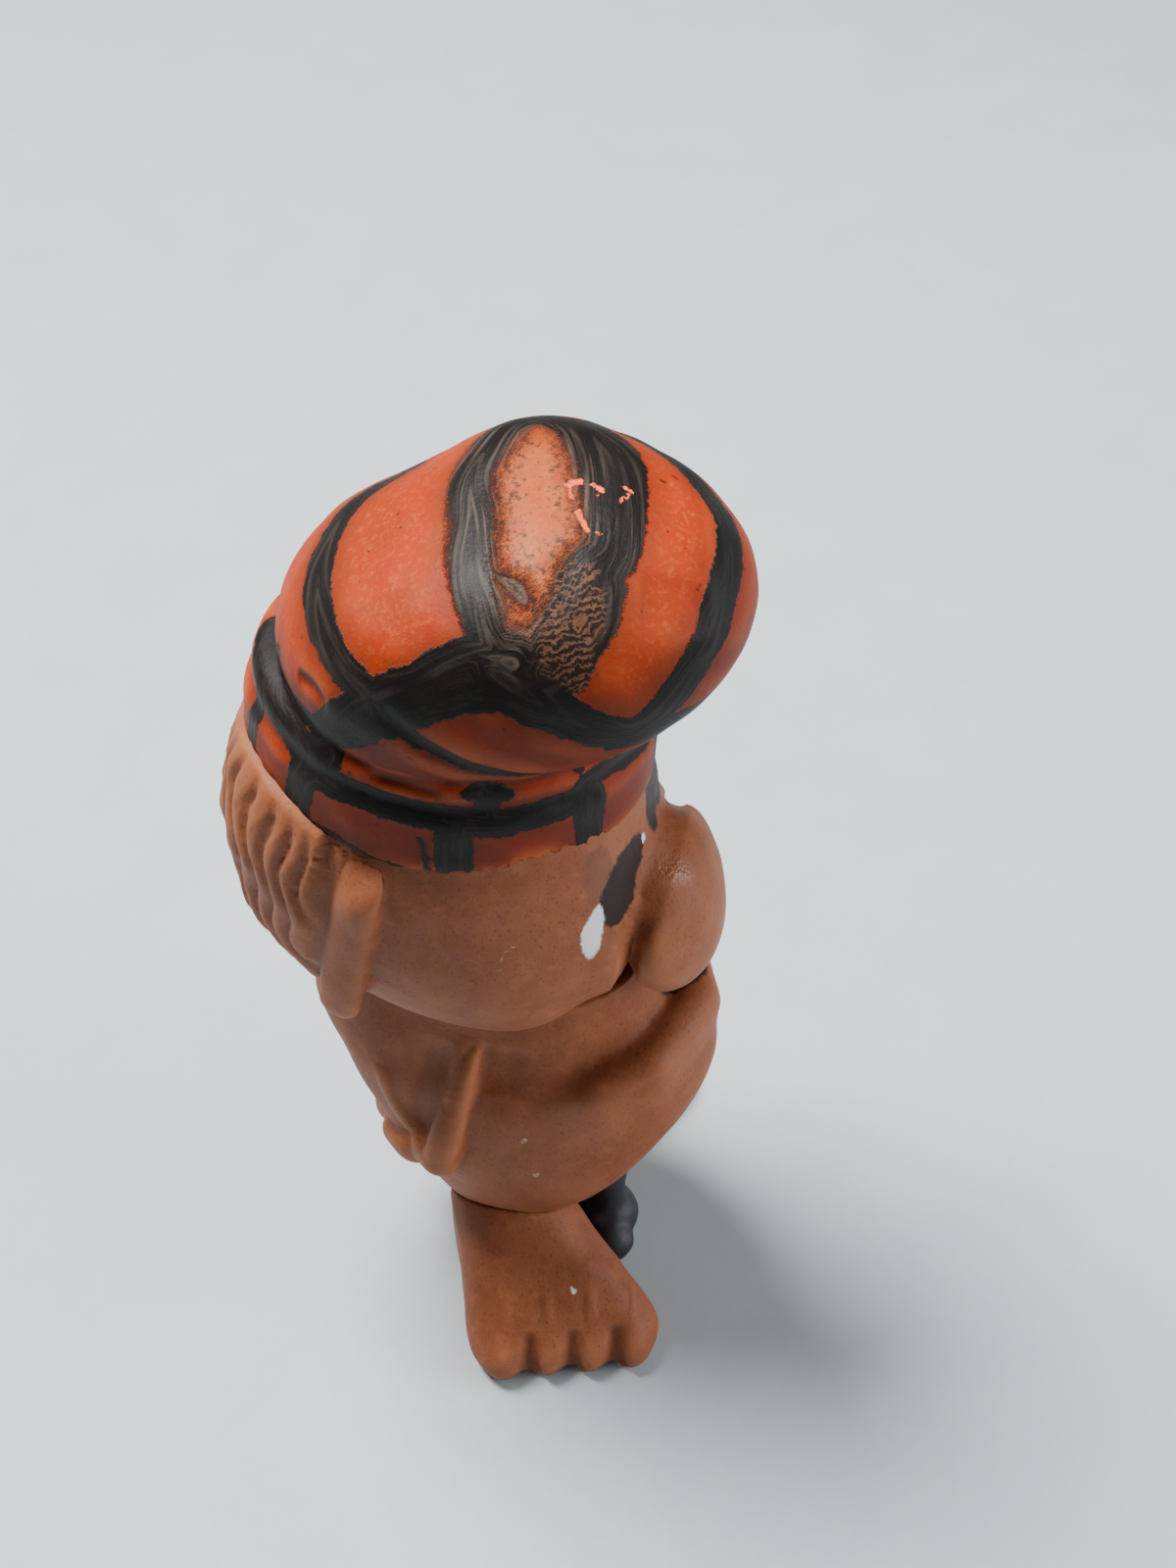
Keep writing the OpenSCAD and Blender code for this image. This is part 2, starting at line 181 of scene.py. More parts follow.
@dataclass(frozen=True)
class RoundedForm:
    """Rounded box with soft swellings, the form of the skull, the crown and the nose."""

    centre: tuple[float, float, float]
    half: tuple[float, float, float]
    power: float
    swellings: tuple[tuple[float, float, float, float], ...] = ()   # longitude, latitude, height, sharpness
    tilt: float = 0.0                                               # turn about X in degrees

    def reach(self, ways: np.ndarray) -> np.ndarray:
        """Distance from the centre to the skin along unit vectors of the form's own frame."""
        shell = np.sum((np.abs(ways) / np.array(self.half)) ** self.power, axis=1) ** (-1 / self.power)
        for lon, lat, height, sharpness in self.swellings:
            shell = shell + height * np.exp(sharpness * (ways @ heading(lon, lat) - 1))
        return shell

    def local(self, points: np.ndarray) -> tuple[np.ndarray, np.ndarray]:
        """Unit vectors and distances of points from the centre, in the form's own frame."""
        offset = tilt_x(points - np.array(self.centre), -self.tilt)
        return unit(offset), np.linalg.norm(offset, axis=1)

    def place(self, ways: np.ndarray, radii: np.ndarray) -> np.ndarray:
        """Points at the given distances along unit vectors of the form's own frame."""
        return tilt_x(ways * radii[:, None], self.tilt) + np.array(self.centre)

    def settle(self, points: np.ndarray, within: float) -> np.ndarray:
        """Move points that lie near the skin onto it, which takes the facets away.

        Args:
            points: Places in mm.
            within: Points further than this from the skin stay.

        Returns:
            The moved places.
        """
        ways, radii = self.local(points)
        reach = self.reach(ways)
        near = np.abs(radii - reach) < within
        return np.where(near[:, None], self.place(ways, reach), points)


@dataclass(frozen=True)
class LoftedForm:
    """Upright loft through stations of height, front, back and half width, the form of the torso."""

    stations: tuple[tuple[float, float, float, float], ...]
    power: float
    samples: int = 40

    def level(self, points: np.ndarray) -> tuple[np.ndarray, np.ndarray, np.ndarray, np.ndarray]:
        """Middles, unit vectors, distances from the middle and to the skin, level with the points."""
        rows = glide(np.array(self.stations), self.samples)
        front, back, half = (np.interp(points[:, 2], rows[:, 0], rows[:, k]) for k in (1, 2, 3))
        middle = np.stack([0 * front, (front + back) / 2], axis=1)
        offset = points[:, :2] - middle
        ways = unit(offset)
        reach = ((np.abs(ways[:, 0]) / half) ** self.power
                 + (np.abs(ways[:, 1]) / ((back - front) / 2)) ** self.power) ** (-1 / self.power)
        return middle, ways, np.linalg.norm(offset, axis=1), reach

    def settle(self, points: np.ndarray, within: float) -> np.ndarray:
        """Move points that lie near the loft's side onto it, level with where they are."""
        middle, ways, radii, reach = self.level(points)
        near = np.abs(radii - reach) < within
        moved = points.copy()
        moved[near, :2] = (middle + ways * reach[:, None])[near]
        return moved


SKULL = RoundedForm((0, 3.4, 52.6), (14.2, 16, 16.4), 2.35, ((-52, -40, 2.4, 6), (52, -40, 2.4, 6)))
NOSE = RoundedForm((0, -13.7, 45), (5.2, 4.8, 7.7), 2, (), -8)
CROWN = RoundedForm((0, -2.2, 73), (14.4, 16.6, 10), 2.2,
                    ((0, 5, 2, 6), (200, 40, -1.6, 6), (0, -60, -1.5, 5), (70, 48, 1.5, 7),
                     (135, 35, -1.3, 7)), -9)
TORSO = LoftedForm(((9, -7, 6.5, 8), (13.004, -11, 8.5, 10.8), (18.152, -14.6, 10.5, 12.4),
                    (23.014, -17, 13.4, 12.4), (27.59, -18, 15.2, 11.9), (31.594, -15.2, 16.4, 10.2),
                    (37.6, -12, 14.4, 8.8)), 2.2)
BAND_CENTRE = (0, 2.2, 62)
BAND_TILT = 7
BAND_HALF = (14, 15.6)


# ---------------------------------------------------------------- paint

class Aim(Enum):
    """What a stroke's points are measured from."""

    CROWN = "longitude and latitude about the middle of the crown"
    BAND = "longitude about the band's axis, and height"
    FACE = "longitude and latitude about the middle of the skull"
    SPOT = "x, y and z close to the surface"


class Layer(Enum):
    """Paints and marks, each kept on a mesh as a signed distance in mm."""

    BLACK = "ink"
    WHITE = "white"
    FILM = "film"
    SMEAR = "smear"
    CHIP = "chip"
    PALE = "pale"
    GLOSS = "gloss"
    PRESS = "press"


@dataclass(frozen=True)
class Stroke:
    """One brush stroke: its points, each with the stroke's width there in mm."""

    layer: Layer
    aim: Aim
    points: tuple[tuple[float, ...], ...]
    steps: int = 12

    def rays(self) -> tuple[np.ndarray, np.ndarray, np.ndarray]:
        """Places outside the piece, the ways in to it, and the widths along the stroke."""
        table = np.array(self.points, float)
        if self.aim is Aim.BAND:
            stops = np.column_stack([heading(table[:, 0], 0.0)[:, :2], table[:, 1:]])
            rows = glide(stops, self.steps)
            ways = unit(np.column_stack([rows[:, :2], np.zeros(len(rows))]))
            axis = np.column_stack([np.tile(BAND_CENTRE[:2], (len(rows), 1)), rows[:, 2]])
            return axis + OUTSIDE * ways, -ways, rows[:, 3]
        centre = np.array(CROWN.centre if self.aim is Aim.CROWN else SKULL.centre)
        stops = np.column_stack([heading(table[:, 0], table[:, 1]), table[:, 2]])
        rows = glide(stops, self.steps)
        ways = unit(rows[:, :3])
        return centre + OUTSIDE * ways, -ways, rows[:, 3]

    def trace(self, tree: BVHTree) -> tuple[np.ndarray, np.ndarray]:
        """Lay the stroke on a surface.

        Args:
            tree: The surface in mm.

        Returns:
            Places along the stroke in mm, and the half widths there.
        """
        if self.aim is Aim.SPOT:
            rows = glide(np.array(self.points, float), self.steps)
            spots = [tree.find_nearest(Vector(row[:3]))[0] for row in rows]
            return np.array(spots), rows[:, 3] / 2
        starts, ways, widths = self.rays()
        hits = [tree.ray_cast(Vector(a), Vector(w))[0] for a, w in zip(starts, ways)]
        kept = [i for i, hit in enumerate(hits) if hit is not None]
        return np.array([hits[i] for i in kept]), widths[kept] / 2


@dataclass(frozen=True)
class Press:
    """Ridge or groove pressed into the soft vinyl along a stroke."""

    stroke: Stroke
    height: float       # mm, below 0 for a groove
    fade: float         # mm that it takes to die away beyond the stroke's edge


def keep(mesh: bpy.types.Mesh, name: str, values: np.ndarray) -> None:
    """Keep one value for each vertex on the mesh, for its finish to read."""
    mesh.attributes.new(name, "FLOAT", "POINT").data.foreach_set("value", values.astype(np.float32))


def mirrored(stroke: Stroke) -> Stroke:
    """The same stroke, given by places near the surface, on the other side of the figure."""
    return replace(stroke, points=tuple((-p[0], *p[1:]) for p in stroke.points))


@dataclass
class Paint:
    """Signed distances from every vertex of a moulding to the strokes of each layer."""

    points: np.ndarray
    tree: BVHTree
    marks: dict[str, np.ndarray] = field(default_factory=dict)

    def mark(self, name: str, empty: float) -> np.ndarray:
        """The values kept under a name, made full of the empty value if new."""
        return self.marks.setdefault(name, np.full(len(self.points), empty))

    def brush(self, strokes: tuple[Stroke, ...]) -> None:
        """Add strokes to their layers, and keep how far along its stroke each vertex lies.

        Args:
            strokes: The strokes to lay on the surface.
        """
        for number, stroke in enumerate(strokes):
            path, half = stroke.trace(self.tree)
            if len(path) < 2:
                log.warning("stroke %d of layer %s missed the surface", number, stroke.layer.value)
                continue
            best = self.mark(stroke.layer.value, FAR)
            margin = half.max() + 4
            within = (self.points > path.min(0) - margin) & (self.points < path.max(0) + margin)
            near = np.flatnonzero(np.all(within, axis=1))
            spots = self.points[near]
            ink = np.full(len(near), FAR)
            runs = np.zeros(len(near))
            so_far = 0.0
            for a, b, wa, wb in zip(path[:-1], path[1:], half[:-1], half[1:]):
                span = b - a
                length = float(np.linalg.norm(span))
                if length < 1e-6:
                    continue
                t = np.clip((spots - a) @ span / length ** 2, 0, 1)
                gap = spots - (a + t[:, None] * span)
                away = np.linalg.norm(gap, axis=1) - (wa + (wb - wa) * t)
                closer = away < ink
                ink[closer] = away[closer]
                runs[closer] = so_far + t[closer] * length
                so_far += length
            wins = ink < best[near]
            best[near[wins]] = ink[wins]
            self.mark("along", 0.5)[near[wins]] = runs[wins] / max(so_far, 1e-6)

    def write(self, mesh: bpy.types.Mesh) -> None:
        """Keep every layer on the mesh, the unused ones as well, for its finish to read."""
        for layer in Layer:
            self.mark(layer.value, FAR)
        for name, values in self.marks.items():
            keep(mesh, name, values)


# ---------------------------------------------------------------- finishes

def per_metre(size_mm: float) -> float:
    """Scale of a noise whose grains are about size_mm across on Object coordinates in metres."""
    return 1 / (size_mm * MM)


def wash(tree: Tree, under: Source, colour: str, mask: Source, near: float, far: float, most: float,
         ramp: str = "LINEAR") -> Node:
    """Lay a colour where a value runs from near to far.

    Args:
        tree: The material's tree.
        under: Colour below.
        colour: Hex colour that is laid.
        mask: The value.
        near: Value where the colour starts to show.
        far: Value where it shows most.
        most: How much of it shows there.
        ramp: Shape of the way from near to far.

    Returns:
        The mixed colour.
    """
    share = add_node(tree, "MapRange", {"interpolation_type": ramp, "From Min": near, "From Max": far,
                                        "To Max": most}, {0: mask})
    return add_node(tree, "Mix", {"data_type": "RGBA", 7: linear(colour)}, {0: share, 6: under})


@dataclass(frozen=True)
class Finish:
    """A material whose patterns lie on Object coordinates."""

    def material(self, name: str) -> Material:
        """Build the finish.

        Args:
            name: Name of the real material.

        Returns:
            The material.
        """
        material = bpy.data.materials.new(name)
        material.use_nodes = True
        tree = material.node_tree
        tree.nodes.clear()
        constants, links = self.surface(tree, add_node(tree, "TexCoord").outputs["Object"])
        shader = add_node(tree, "BsdfPrincipled", constants, links)
        add_node(tree, "OutputMaterial", links={"Surface": shader})
        return material

    def surface(self, tree: Tree, where: Source) -> tuple[dict, dict]:
        """What the shader's sockets are set to, and what they are linked to."""
        raise NotImplementedError


@dataclass(frozen=True)
class Coat:
    """Paint laid by brush over soft vinyl."""

    layer: Layer
    colour: str
    ragged: float       # mm that the edge wanders
    soft: float         # mm over which the edge fades
    cover: float        # share of what lies below that it hides

    def lay(self, tree: Tree, where: Source, under: Source) -> Node:
        """Lay the paint where its layer's distance is negative.

        Args:
            tree: The material's tree.
            where: Object coordinates.
            under: Colour below the paint.

        Returns:
            The colour with the paint on it.
        """
        distance = add_node(tree, "Attribute", {"attribute_name": self.layer.value})
        edge = add_node(tree, "TexNoise", {"Scale": per_metre(0.6), "Detail": 6.0, "Roughness": 0.75},
                        {"Vector": where})
        warped = add_node(tree, "Math", {"operation": "MULTIPLY_ADD", 1: 4 * self.ragged},
                          {0: edge, 2: distance})
        middle = 2 * self.ragged
        return wash(tree, under, self.colour, warped, middle + self.soft, middle - self.soft, self.cover,
                    "SMOOTHSTEP")


@dataclass(frozen=True)
class SoftVinyl(Finish):
    """Rotocast soft vinyl, coloured through: a satin skin with a fine grain and warm, slightly uneven brown.

    The pigment clouds a little and the mould leaves a grain of about 0.3 mm. Painted highlight lightens the
    ridges and painted shade darkens the hollows.
    """

    base: str = "#8c5134"
    deep: str = "#7d4327"
    # warm mottle, and the painted highlight on the ridges
    warm_mottle_and_ridge_highlight: str = "#a86a41"
    # dark for the pores, and the painted shade in the hollows
    pore_dirt_and_hollow_shade: str = "#44220f"
    grain_mm: float = 0.3
    coats: tuple[Coat, ...] = ()

    def surface(self, tree: Tree, where: Source) -> tuple[dict, dict]:
        """Clouded brown under its coats, satin with the mould's grain, and one wet gloss."""
        clouds, mottle, grain = (
            add_node(tree, "TexNoise", {"Scale": per_metre(size), "Detail": detail, "Roughness": coarse},
                     {"Vector": where})
            for size, detail, coarse in ((6, 4.0, 0.55), (1.1, 3.0, 0.6), (self.grain_mm, 2.0, 0.6)))
        hollow, sheen = (add_node(tree, "Attribute", {"attribute_name": mark})
                         for mark in ("hollow", Layer.GLOSS.value))
        cloudy = add_node(tree, "MapRange", {"From Min": 0.35, "From Max": 0.65}, {0: clouds})
        colour = add_node(tree, "Mix", {"data_type": "RGBA", 6: linear(self.base), 7: linear(self.deep)},
                          {0: cloudy})
        for over, mask, near, far, most in (
                (self.warm_mottle_and_ridge_highlight, mottle, 0.5, 0.75, 0.3),          # warm mottle in the brown
                (self.pore_dirt_and_hollow_shade, grain, 0.42, 0.32, 0.4),            # pores of the mould
                (self.pore_dirt_and_hollow_shade, hollow, 0.03, 0.3, 0.4),            # painted shade in the hollows
                (self.warm_mottle_and_ridge_highlight, hollow, -0.02, -0.2, 0.3)):       # painted highlight on the ridges
            colour = wash(tree, colour, over, mask, near, far, most)
        for coat in self.coats:
            colour = coat.lay(tree, where, colour)

        # the sheen and the grain
        shiny = add_node(tree, "MapRange", {"From Min": 0.6, "From Max": -0.6}, {0: sheen})
        satin = add_node(tree, "MapRange", {"To Min": 0.5, "To Max": 0.7}, {0: mottle})
        rough = add_node(tree, "Mix", {"data_type": "FLOAT", 3: 0.16}, {0: shiny, 2: satin})
        height = add_node(tree, "Math", {"operation": "MULTIPLY_ADD", 1: 0.6}, {0: mottle, 2: grain})
        strength = add_node(tree, "Math", {"operation": "MULTIPLY_ADD", 1: 0.6, 2: 0.22}, {0: shiny})
        bump = add_node(tree, "Bump", {"Distance": 0.15 * MM}, {"Height": height, "Strength": strength})
        return ({"IOR": 1.5, "Specular IOR Level": 0.22, "Subsurface Weight": 0.08,
                 "Subsurface Radius": (1.4 * MM, 0.6 * MM, 0.3 * MM)},
                {"Base Color": colour, "Roughness": rough, "Normal": bump})


@dataclass(frozen=True)
class BrushedTam(Finish):
    """Orange vinyl paint with a check brushed on in black.

    The orange is matt and dusty with dark specks. The black is streaky with ragged edges, and is rubbed to a
    brown haze on the top of the cap.
    """

    orange: str = "#9a2b06"
    rust: str = "#82300c"
    peach: str = "#c85e2c"
    shade: str = "#521a06"
    umber: str = "#541f0e"
    black: str = "#14100e"
    grey: str = "#5f5046"
    tan: str = "#b3602b"
    bare: str = "#f8643a"
    speck: str = "#2c150c"
    crumbs: str = "#2a1d16"
    smear: tuple[str, str] = ("#1c1310", "#5e3d2c")
    bristle_mm: float = 0.55

    def surface(self, tree: Tree, where: Source) -> tuple[dict, dict]:
        """Orange, its haze, the strokes and the smear, matt or satin by which of them shows."""
        maps = {"where": where}
        for key in ("ink", "film", "smear", "hollow", "under"):
            maps[key] = add_node(tree, "Attribute", {"attribute_name": key})
        for key, size, detail in (("clouds", 5, 4.0), ("blotch", 1.6, 4.0), ("edge", 0.8, 5.0),
                                  ("specks", 1.0, 1.0), ("fine", 0.45, 3.0), ("grit", 0.15, 2.0)):
            maps[key] = add_node(tree, "TexNoise", {"Scale": per_metre(size), "Detail": detail,
                                                    "Roughness": 0.68}, {"Vector": where})
        maps["worn"] = self.worn(tree, maps)
        colour = self.haze(tree, maps, self.orange_coat(tree, maps))
        colour, mask, streaks = self.strokes(tree, maps, colour)
        colour = self.bristles(tree, maps, colour)
        colour = Coat(Layer.CHIP, self.bare, 0.22, 0.06, 1.0).lay(tree, where, colour)

        # matt orange, satin black with the ridges of its bristles, and a polish where the top is handled
        matt = add_node(tree, "MapRange", {"To Min": 0.46, "To Max": 0.66}, {0: maps["fine"]})
        satin = add_node(tree, "MapRange", {"To Min": 0.36, "To Max": 0.7}, {0: streaks})
        rough = add_node(tree, "Mix", {"data_type": "FLOAT"}, {0: mask, 2: matt, 3: satin})
        handled = add_node(tree, "Math", {"operation": "MULTIPLY", 1: 0.2}, {0: maps["worn"]})
        rough = add_node(tree, "Mix", {"data_type": "FLOAT", 3: 0.25}, {0: handled, 2: rough})
        ridges = add_node(tree, "Math", {"operation": "MULTIPLY_ADD"}, {0: streaks, 1: mask, 2: mask})
        height = add_node(tree, "Math", {"operation": "MULTIPLY_ADD", 1: 0.5}, {0: maps["fine"], 2: ridges})
        bump = add_node(tree, "Bump", {"Strength": 0.55, "Distance": 0.14 * MM}, {"Height": height})
        return ({"IOR": 1.5, "Specular IOR Level": 0.14},
                {"Base Color": colour, "Roughness": rough, "Normal": bump})

    def orange_coat(self, tree: Tree, maps: Nodes) -> Node:
        """Orange with rust, peach grain and specks, painted shade on undersides and hollows, painted
        highlight on ridges.
        """
        cloudy = add_node(tree, "MapRange", {"From Min": 0.4, "From Max": 0.66, "To Max": 0.55},
                          {0: maps["clouds"]})
        coat = add_node(tree, "Mix", {"data_type": "RGBA", 6: linear(self.orange), 7: linear(self.rust)},
                        {0: cloudy})
        for colour, mask, near, far, most in (
                (self.rust, maps["blotch"], 0.5, 0.72, 0.4),
                (self.peach, maps["fine"], 0.5, 0.75, 0.4),
                # painted shade on the undersides
                (self.shade, maps["under"], 0.25, 1.0, 0.85),
                # painted shade in the hollows
                (self.umber, maps["hollow"], 0.02, 0.16, 0.85),
                # painted highlight on the ridges
                (self.peach, maps["hollow"], -0.02, -0.14, 0.45),
                (self.speck, maps["specks"], 0.735, 0.765, 0.8)):
            coat = wash(tree, coat, colour, mask, near, far, most)
        return coat

    def worn(self, tree: Tree, maps: Nodes) -> Node:
        """How far the top of the cap is rubbed, from 0 to 1, with a soft uneven border."""
        wander = add_node(tree, "Math", {"operation": "MULTIPLY_ADD", 1: 2.4},
                          {0: maps["edge"], 2: maps["film"]})
        return add_node(tree, "MapRange", {"interpolation_type": "SMOOTHSTEP", "From Min": 4.0,
                                           "From Max": -0.6}, {0: wander})

    def haze(self, tree: Tree, maps: Nodes, under: Source) -> Node:
        """Lay a tan haze over the rubbed place, dotted with what is left of the black, most near the strokes.

        Args:
            tree: The material's tree.
            maps: The piece's marks, the shared noises and the coordinates, by name.
            under: Colour below the haze.

        Returns:
            The colour with the haze on it.
        """
        tan = add_node(tree, "MapRange", {"From Min": 0.3, "From Max": 0.62, "To Min": 0.25, "To Max": 0.75},
                       {0: maps["blotch"]})
        tan = add_node(tree, "Math", {"operation": "MULTIPLY"}, {0: tan, 1: maps["worn"]})
        hazy = add_node(tree, "Mix", {"data_type": "RGBA", 7: linear(self.tan)}, {0: tan, 6: under})
        near = add_node(tree, "MapRange", {"From Min": 4.5, "From Max": 0.0, "To Max": 0.2},
                        {0: maps["ink"]})
        clumps = add_node(tree, "Math", {"operation": "MULTIPLY_ADD", 1: 0.7}, {0: maps["edge"], 2: near})
        dotted = add_node(tree, "Math", {"operation": "MULTIPLY_ADD", 1: 0.55},
                          {0: maps["fine"], 2: clumps})
        dotted = add_node(tree, "MapRange", {"From Min": 0.76, "From Max": 0.88, "To Max": 0.85}, {0: dotted})
        dotted = add_node(tree, "Math", {"operation": "MULTIPLY"}, {0: dotted, 1: maps["worn"]})
        return add_node(tree, "Mix", {"data_type": "RGBA", 7: linear(self.crumbs)}, {0: dotted, 6: hazy})

    def strokes(self, tree: Tree, maps: Nodes, under: Source) -> tuple[Node, Node, Node]:
        """Lay the black strokes, streaked along the brush, and greyed and soft where they are rubbed.

        Args:
            tree: The material's tree.
            maps: The piece's marks, the shared noises and the coordinates, by name.
            under: Colour below the strokes.

        Returns:
            The colour with the strokes on it, where they are, and their streaks.
        """
        # streaks run along a stroke because their noise changes fast with the distance to its edge
        across = add_node(tree, "CombineXYZ", links={0: maps["ink"]})
        lane = add_node(tree, "VectorMath", {"operation": "MULTIPLY_ADD", 1: (110, 110, 110)},
                        {0: maps["where"], 2: across})
        streaks = add_node(tree, "TexNoise", {"Scale": 2.2, "Detail": 4.0, "Roughness": 0.6},
                           {"Vector": lane})

        # an edge that wanders, dusted with grit and softer where it is rubbed
        wander = add_node(tree, "Math", {"operation": "MULTIPLY_ADD", 1: 0.6, 2: -0.55}, {0: maps["edge"]})
        wide = add_node(tree, "Math", {"operation": "MULTIPLY_ADD", 1: 0.5}, {0: maps["blotch"], 2: wander})
        reach = add_node(tree, "Math", {"operation": "ADD"}, {0: wide, 1: maps["ink"]})
        soft = add_node(tree, "Math", {"operation": "MULTIPLY_ADD", 1: 2.4, 2: 0.26}, {0: maps["worn"]})
        share = add_node(tree, "Math", {"operation": "DIVIDE"}, {0: reach, 1: soft})
        gritty = add_node(tree, "Math", {"operation": "MULTIPLY_ADD", 1: 1.1}, {0: maps["grit"], 2: share})
        mask = add_node(tree, "MapRange", {"interpolation_type": "SMOOTHSTEP", "From Min": 0.95,
                                           "From Max": 0.3}, {0: gritty})
        dust = add_node(tree, "MapRange", {"From Min": 1.9, "From Max": 0.0, "To Max": 1.1}, {0: reach})
        dusty = add_node(tree, "Math", {"operation": "MULTIPLY"}, {0: dust, 1: maps["fine"]})
        halo = add_node(tree, "Mix", {"data_type": "RGBA", 7: linear(self.umber)}, {0: dusty, 6: under})

        # black that thins to grey between the streaks
        thin = add_node(tree, "MapRange", {"From Min": 0.5, "From Max": 0.7}, {0: streaks})
        most = add_node(tree, "Math", {"operation": "MULTIPLY_ADD", 1: 0.75, 2: 0.18}, {0: maps["worn"]})
        thin = add_node(tree, "Math", {"operation": "MULTIPLY"}, {0: thin, 1: most})
        paint = add_node(tree, "Mix", {"data_type": "RGBA", 6: linear(self.black), 7: linear(self.grey)},
                         {0: thin})
        return add_node(tree, "Mix", {"data_type": "RGBA"}, {0: mask, 6: halo, 7: paint}), mask, streaks

    def bristles(self, tree: Tree, maps: Nodes, under: Source) -> Node:
        """Lay the smear that the brush dragged sideways, combed by its bristles.

        Args:
            tree: The material's tree.
            maps: The piece's marks, the shared noises and the coordinates, by name.
            under: Colour below the smear.

        Returns:
            The colour with the smear on it.
        """
        bend = add_node(tree, "VectorMath", {"operation": "DOT_PRODUCT", 1: (430, 360, 830)},
                        {0: maps["where"]})
        bend = add_node(tree, "Math", {"operation": "MULTIPLY_ADD", 1: 3.0},
                        {0: maps["blotch"], 2: bend.outputs["Value"]})
        comb = add_node(tree, "Math", {"operation": "MULTIPLY", 1: 2 * math.pi / self.bristle_mm}, {0: bend})
        comb = add_node(tree, "Math", {"operation": "SINE"}, {0: comb})
        comb = add_node(tree, "Math", {"operation": "MULTIPLY_ADD", 1: 2.6}, {0: maps["edge"], 2: comb})
        teeth = add_node(tree, "MapRange", {"From Min": 1.0, "From Max": 2.3}, {0: comb})
        dark, pale = (linear(colour) for colour in self.smear)
        paint = add_node(tree, "Mix", {"data_type": "RGBA", 6: dark, 7: pale}, {0: teeth})
        wander = add_node(tree, "Math", {"operation": "MULTIPLY_ADD", 1: 2.4},
                          {0: maps["edge"], 2: maps["smear"]})
        mask = add_node(tree, "MapRange", {"interpolation_type": "SMOOTHSTEP", "From Min": 1.35,
                                           "From Max": 0.75, "To Max": 0.92}, {0: wander})
        return add_node(tree, "Mix", {"data_type": "RGBA"}, {0: mask, 6: under, 7: paint})


@dataclass(frozen=True)
class Grainy(Finish):
    """Plain hard or rubbery material: one colour clouded toward another, with a grain of its own size."""

    base: str
    cloud: str
    grain_mm: float
    roughness: float
    bump_mm: float = 0.05
    metallic: float = 0.0
    ior: float = 1.5
    transmission: float = 0.0

    def surface(self, tree: Tree, where: Source) -> tuple[dict, dict]:
        """One colour clouded toward the other, rougher on its grain."""
        grain = add_node(tree, "TexNoise", {"Scale": per_metre(self.grain_mm), "Detail": 3.0,
                                            "Roughness": 0.6}, {"Vector": where})
        clouds = add_node(tree, "TexNoise", {"Scale": per_metre(self.grain_mm * 9), "Detail": 3.0},
                          {"Vector": where})
        mixed = add_node(tree, "Math", {"operation": "MULTIPLY_ADD", 1: 0.5}, {0: grain, 2: clouds})
        share = add_node(tree, "MapRange", {"From Min": 0.55, "From Max": 0.95}, {0: mixed})
        tone = add_node(tree, "Mix", {"data_type": "RGBA", 6: linear(self.base), 7: linear(self.cloud)},
                        {0: share})
        gloss = add_node(tree, "MapRange", {"To Min": max(0.05, self.roughness - 0.12),
                                            "To Max": self.roughness + 0.12}, {0: grain})
        bump = add_node(tree, "Bump", {"Strength": 0.6, "Distance": self.bump_mm * MM}, {"Height": grain})
        return ({"Metallic": self.metallic, "IOR": self.ior, "Transmission Weight": self.transmission},
                {"Base Color": tone, "Roughness": gloss, "Normal": bump})


# ---------------------------------------------------------------- mouldings

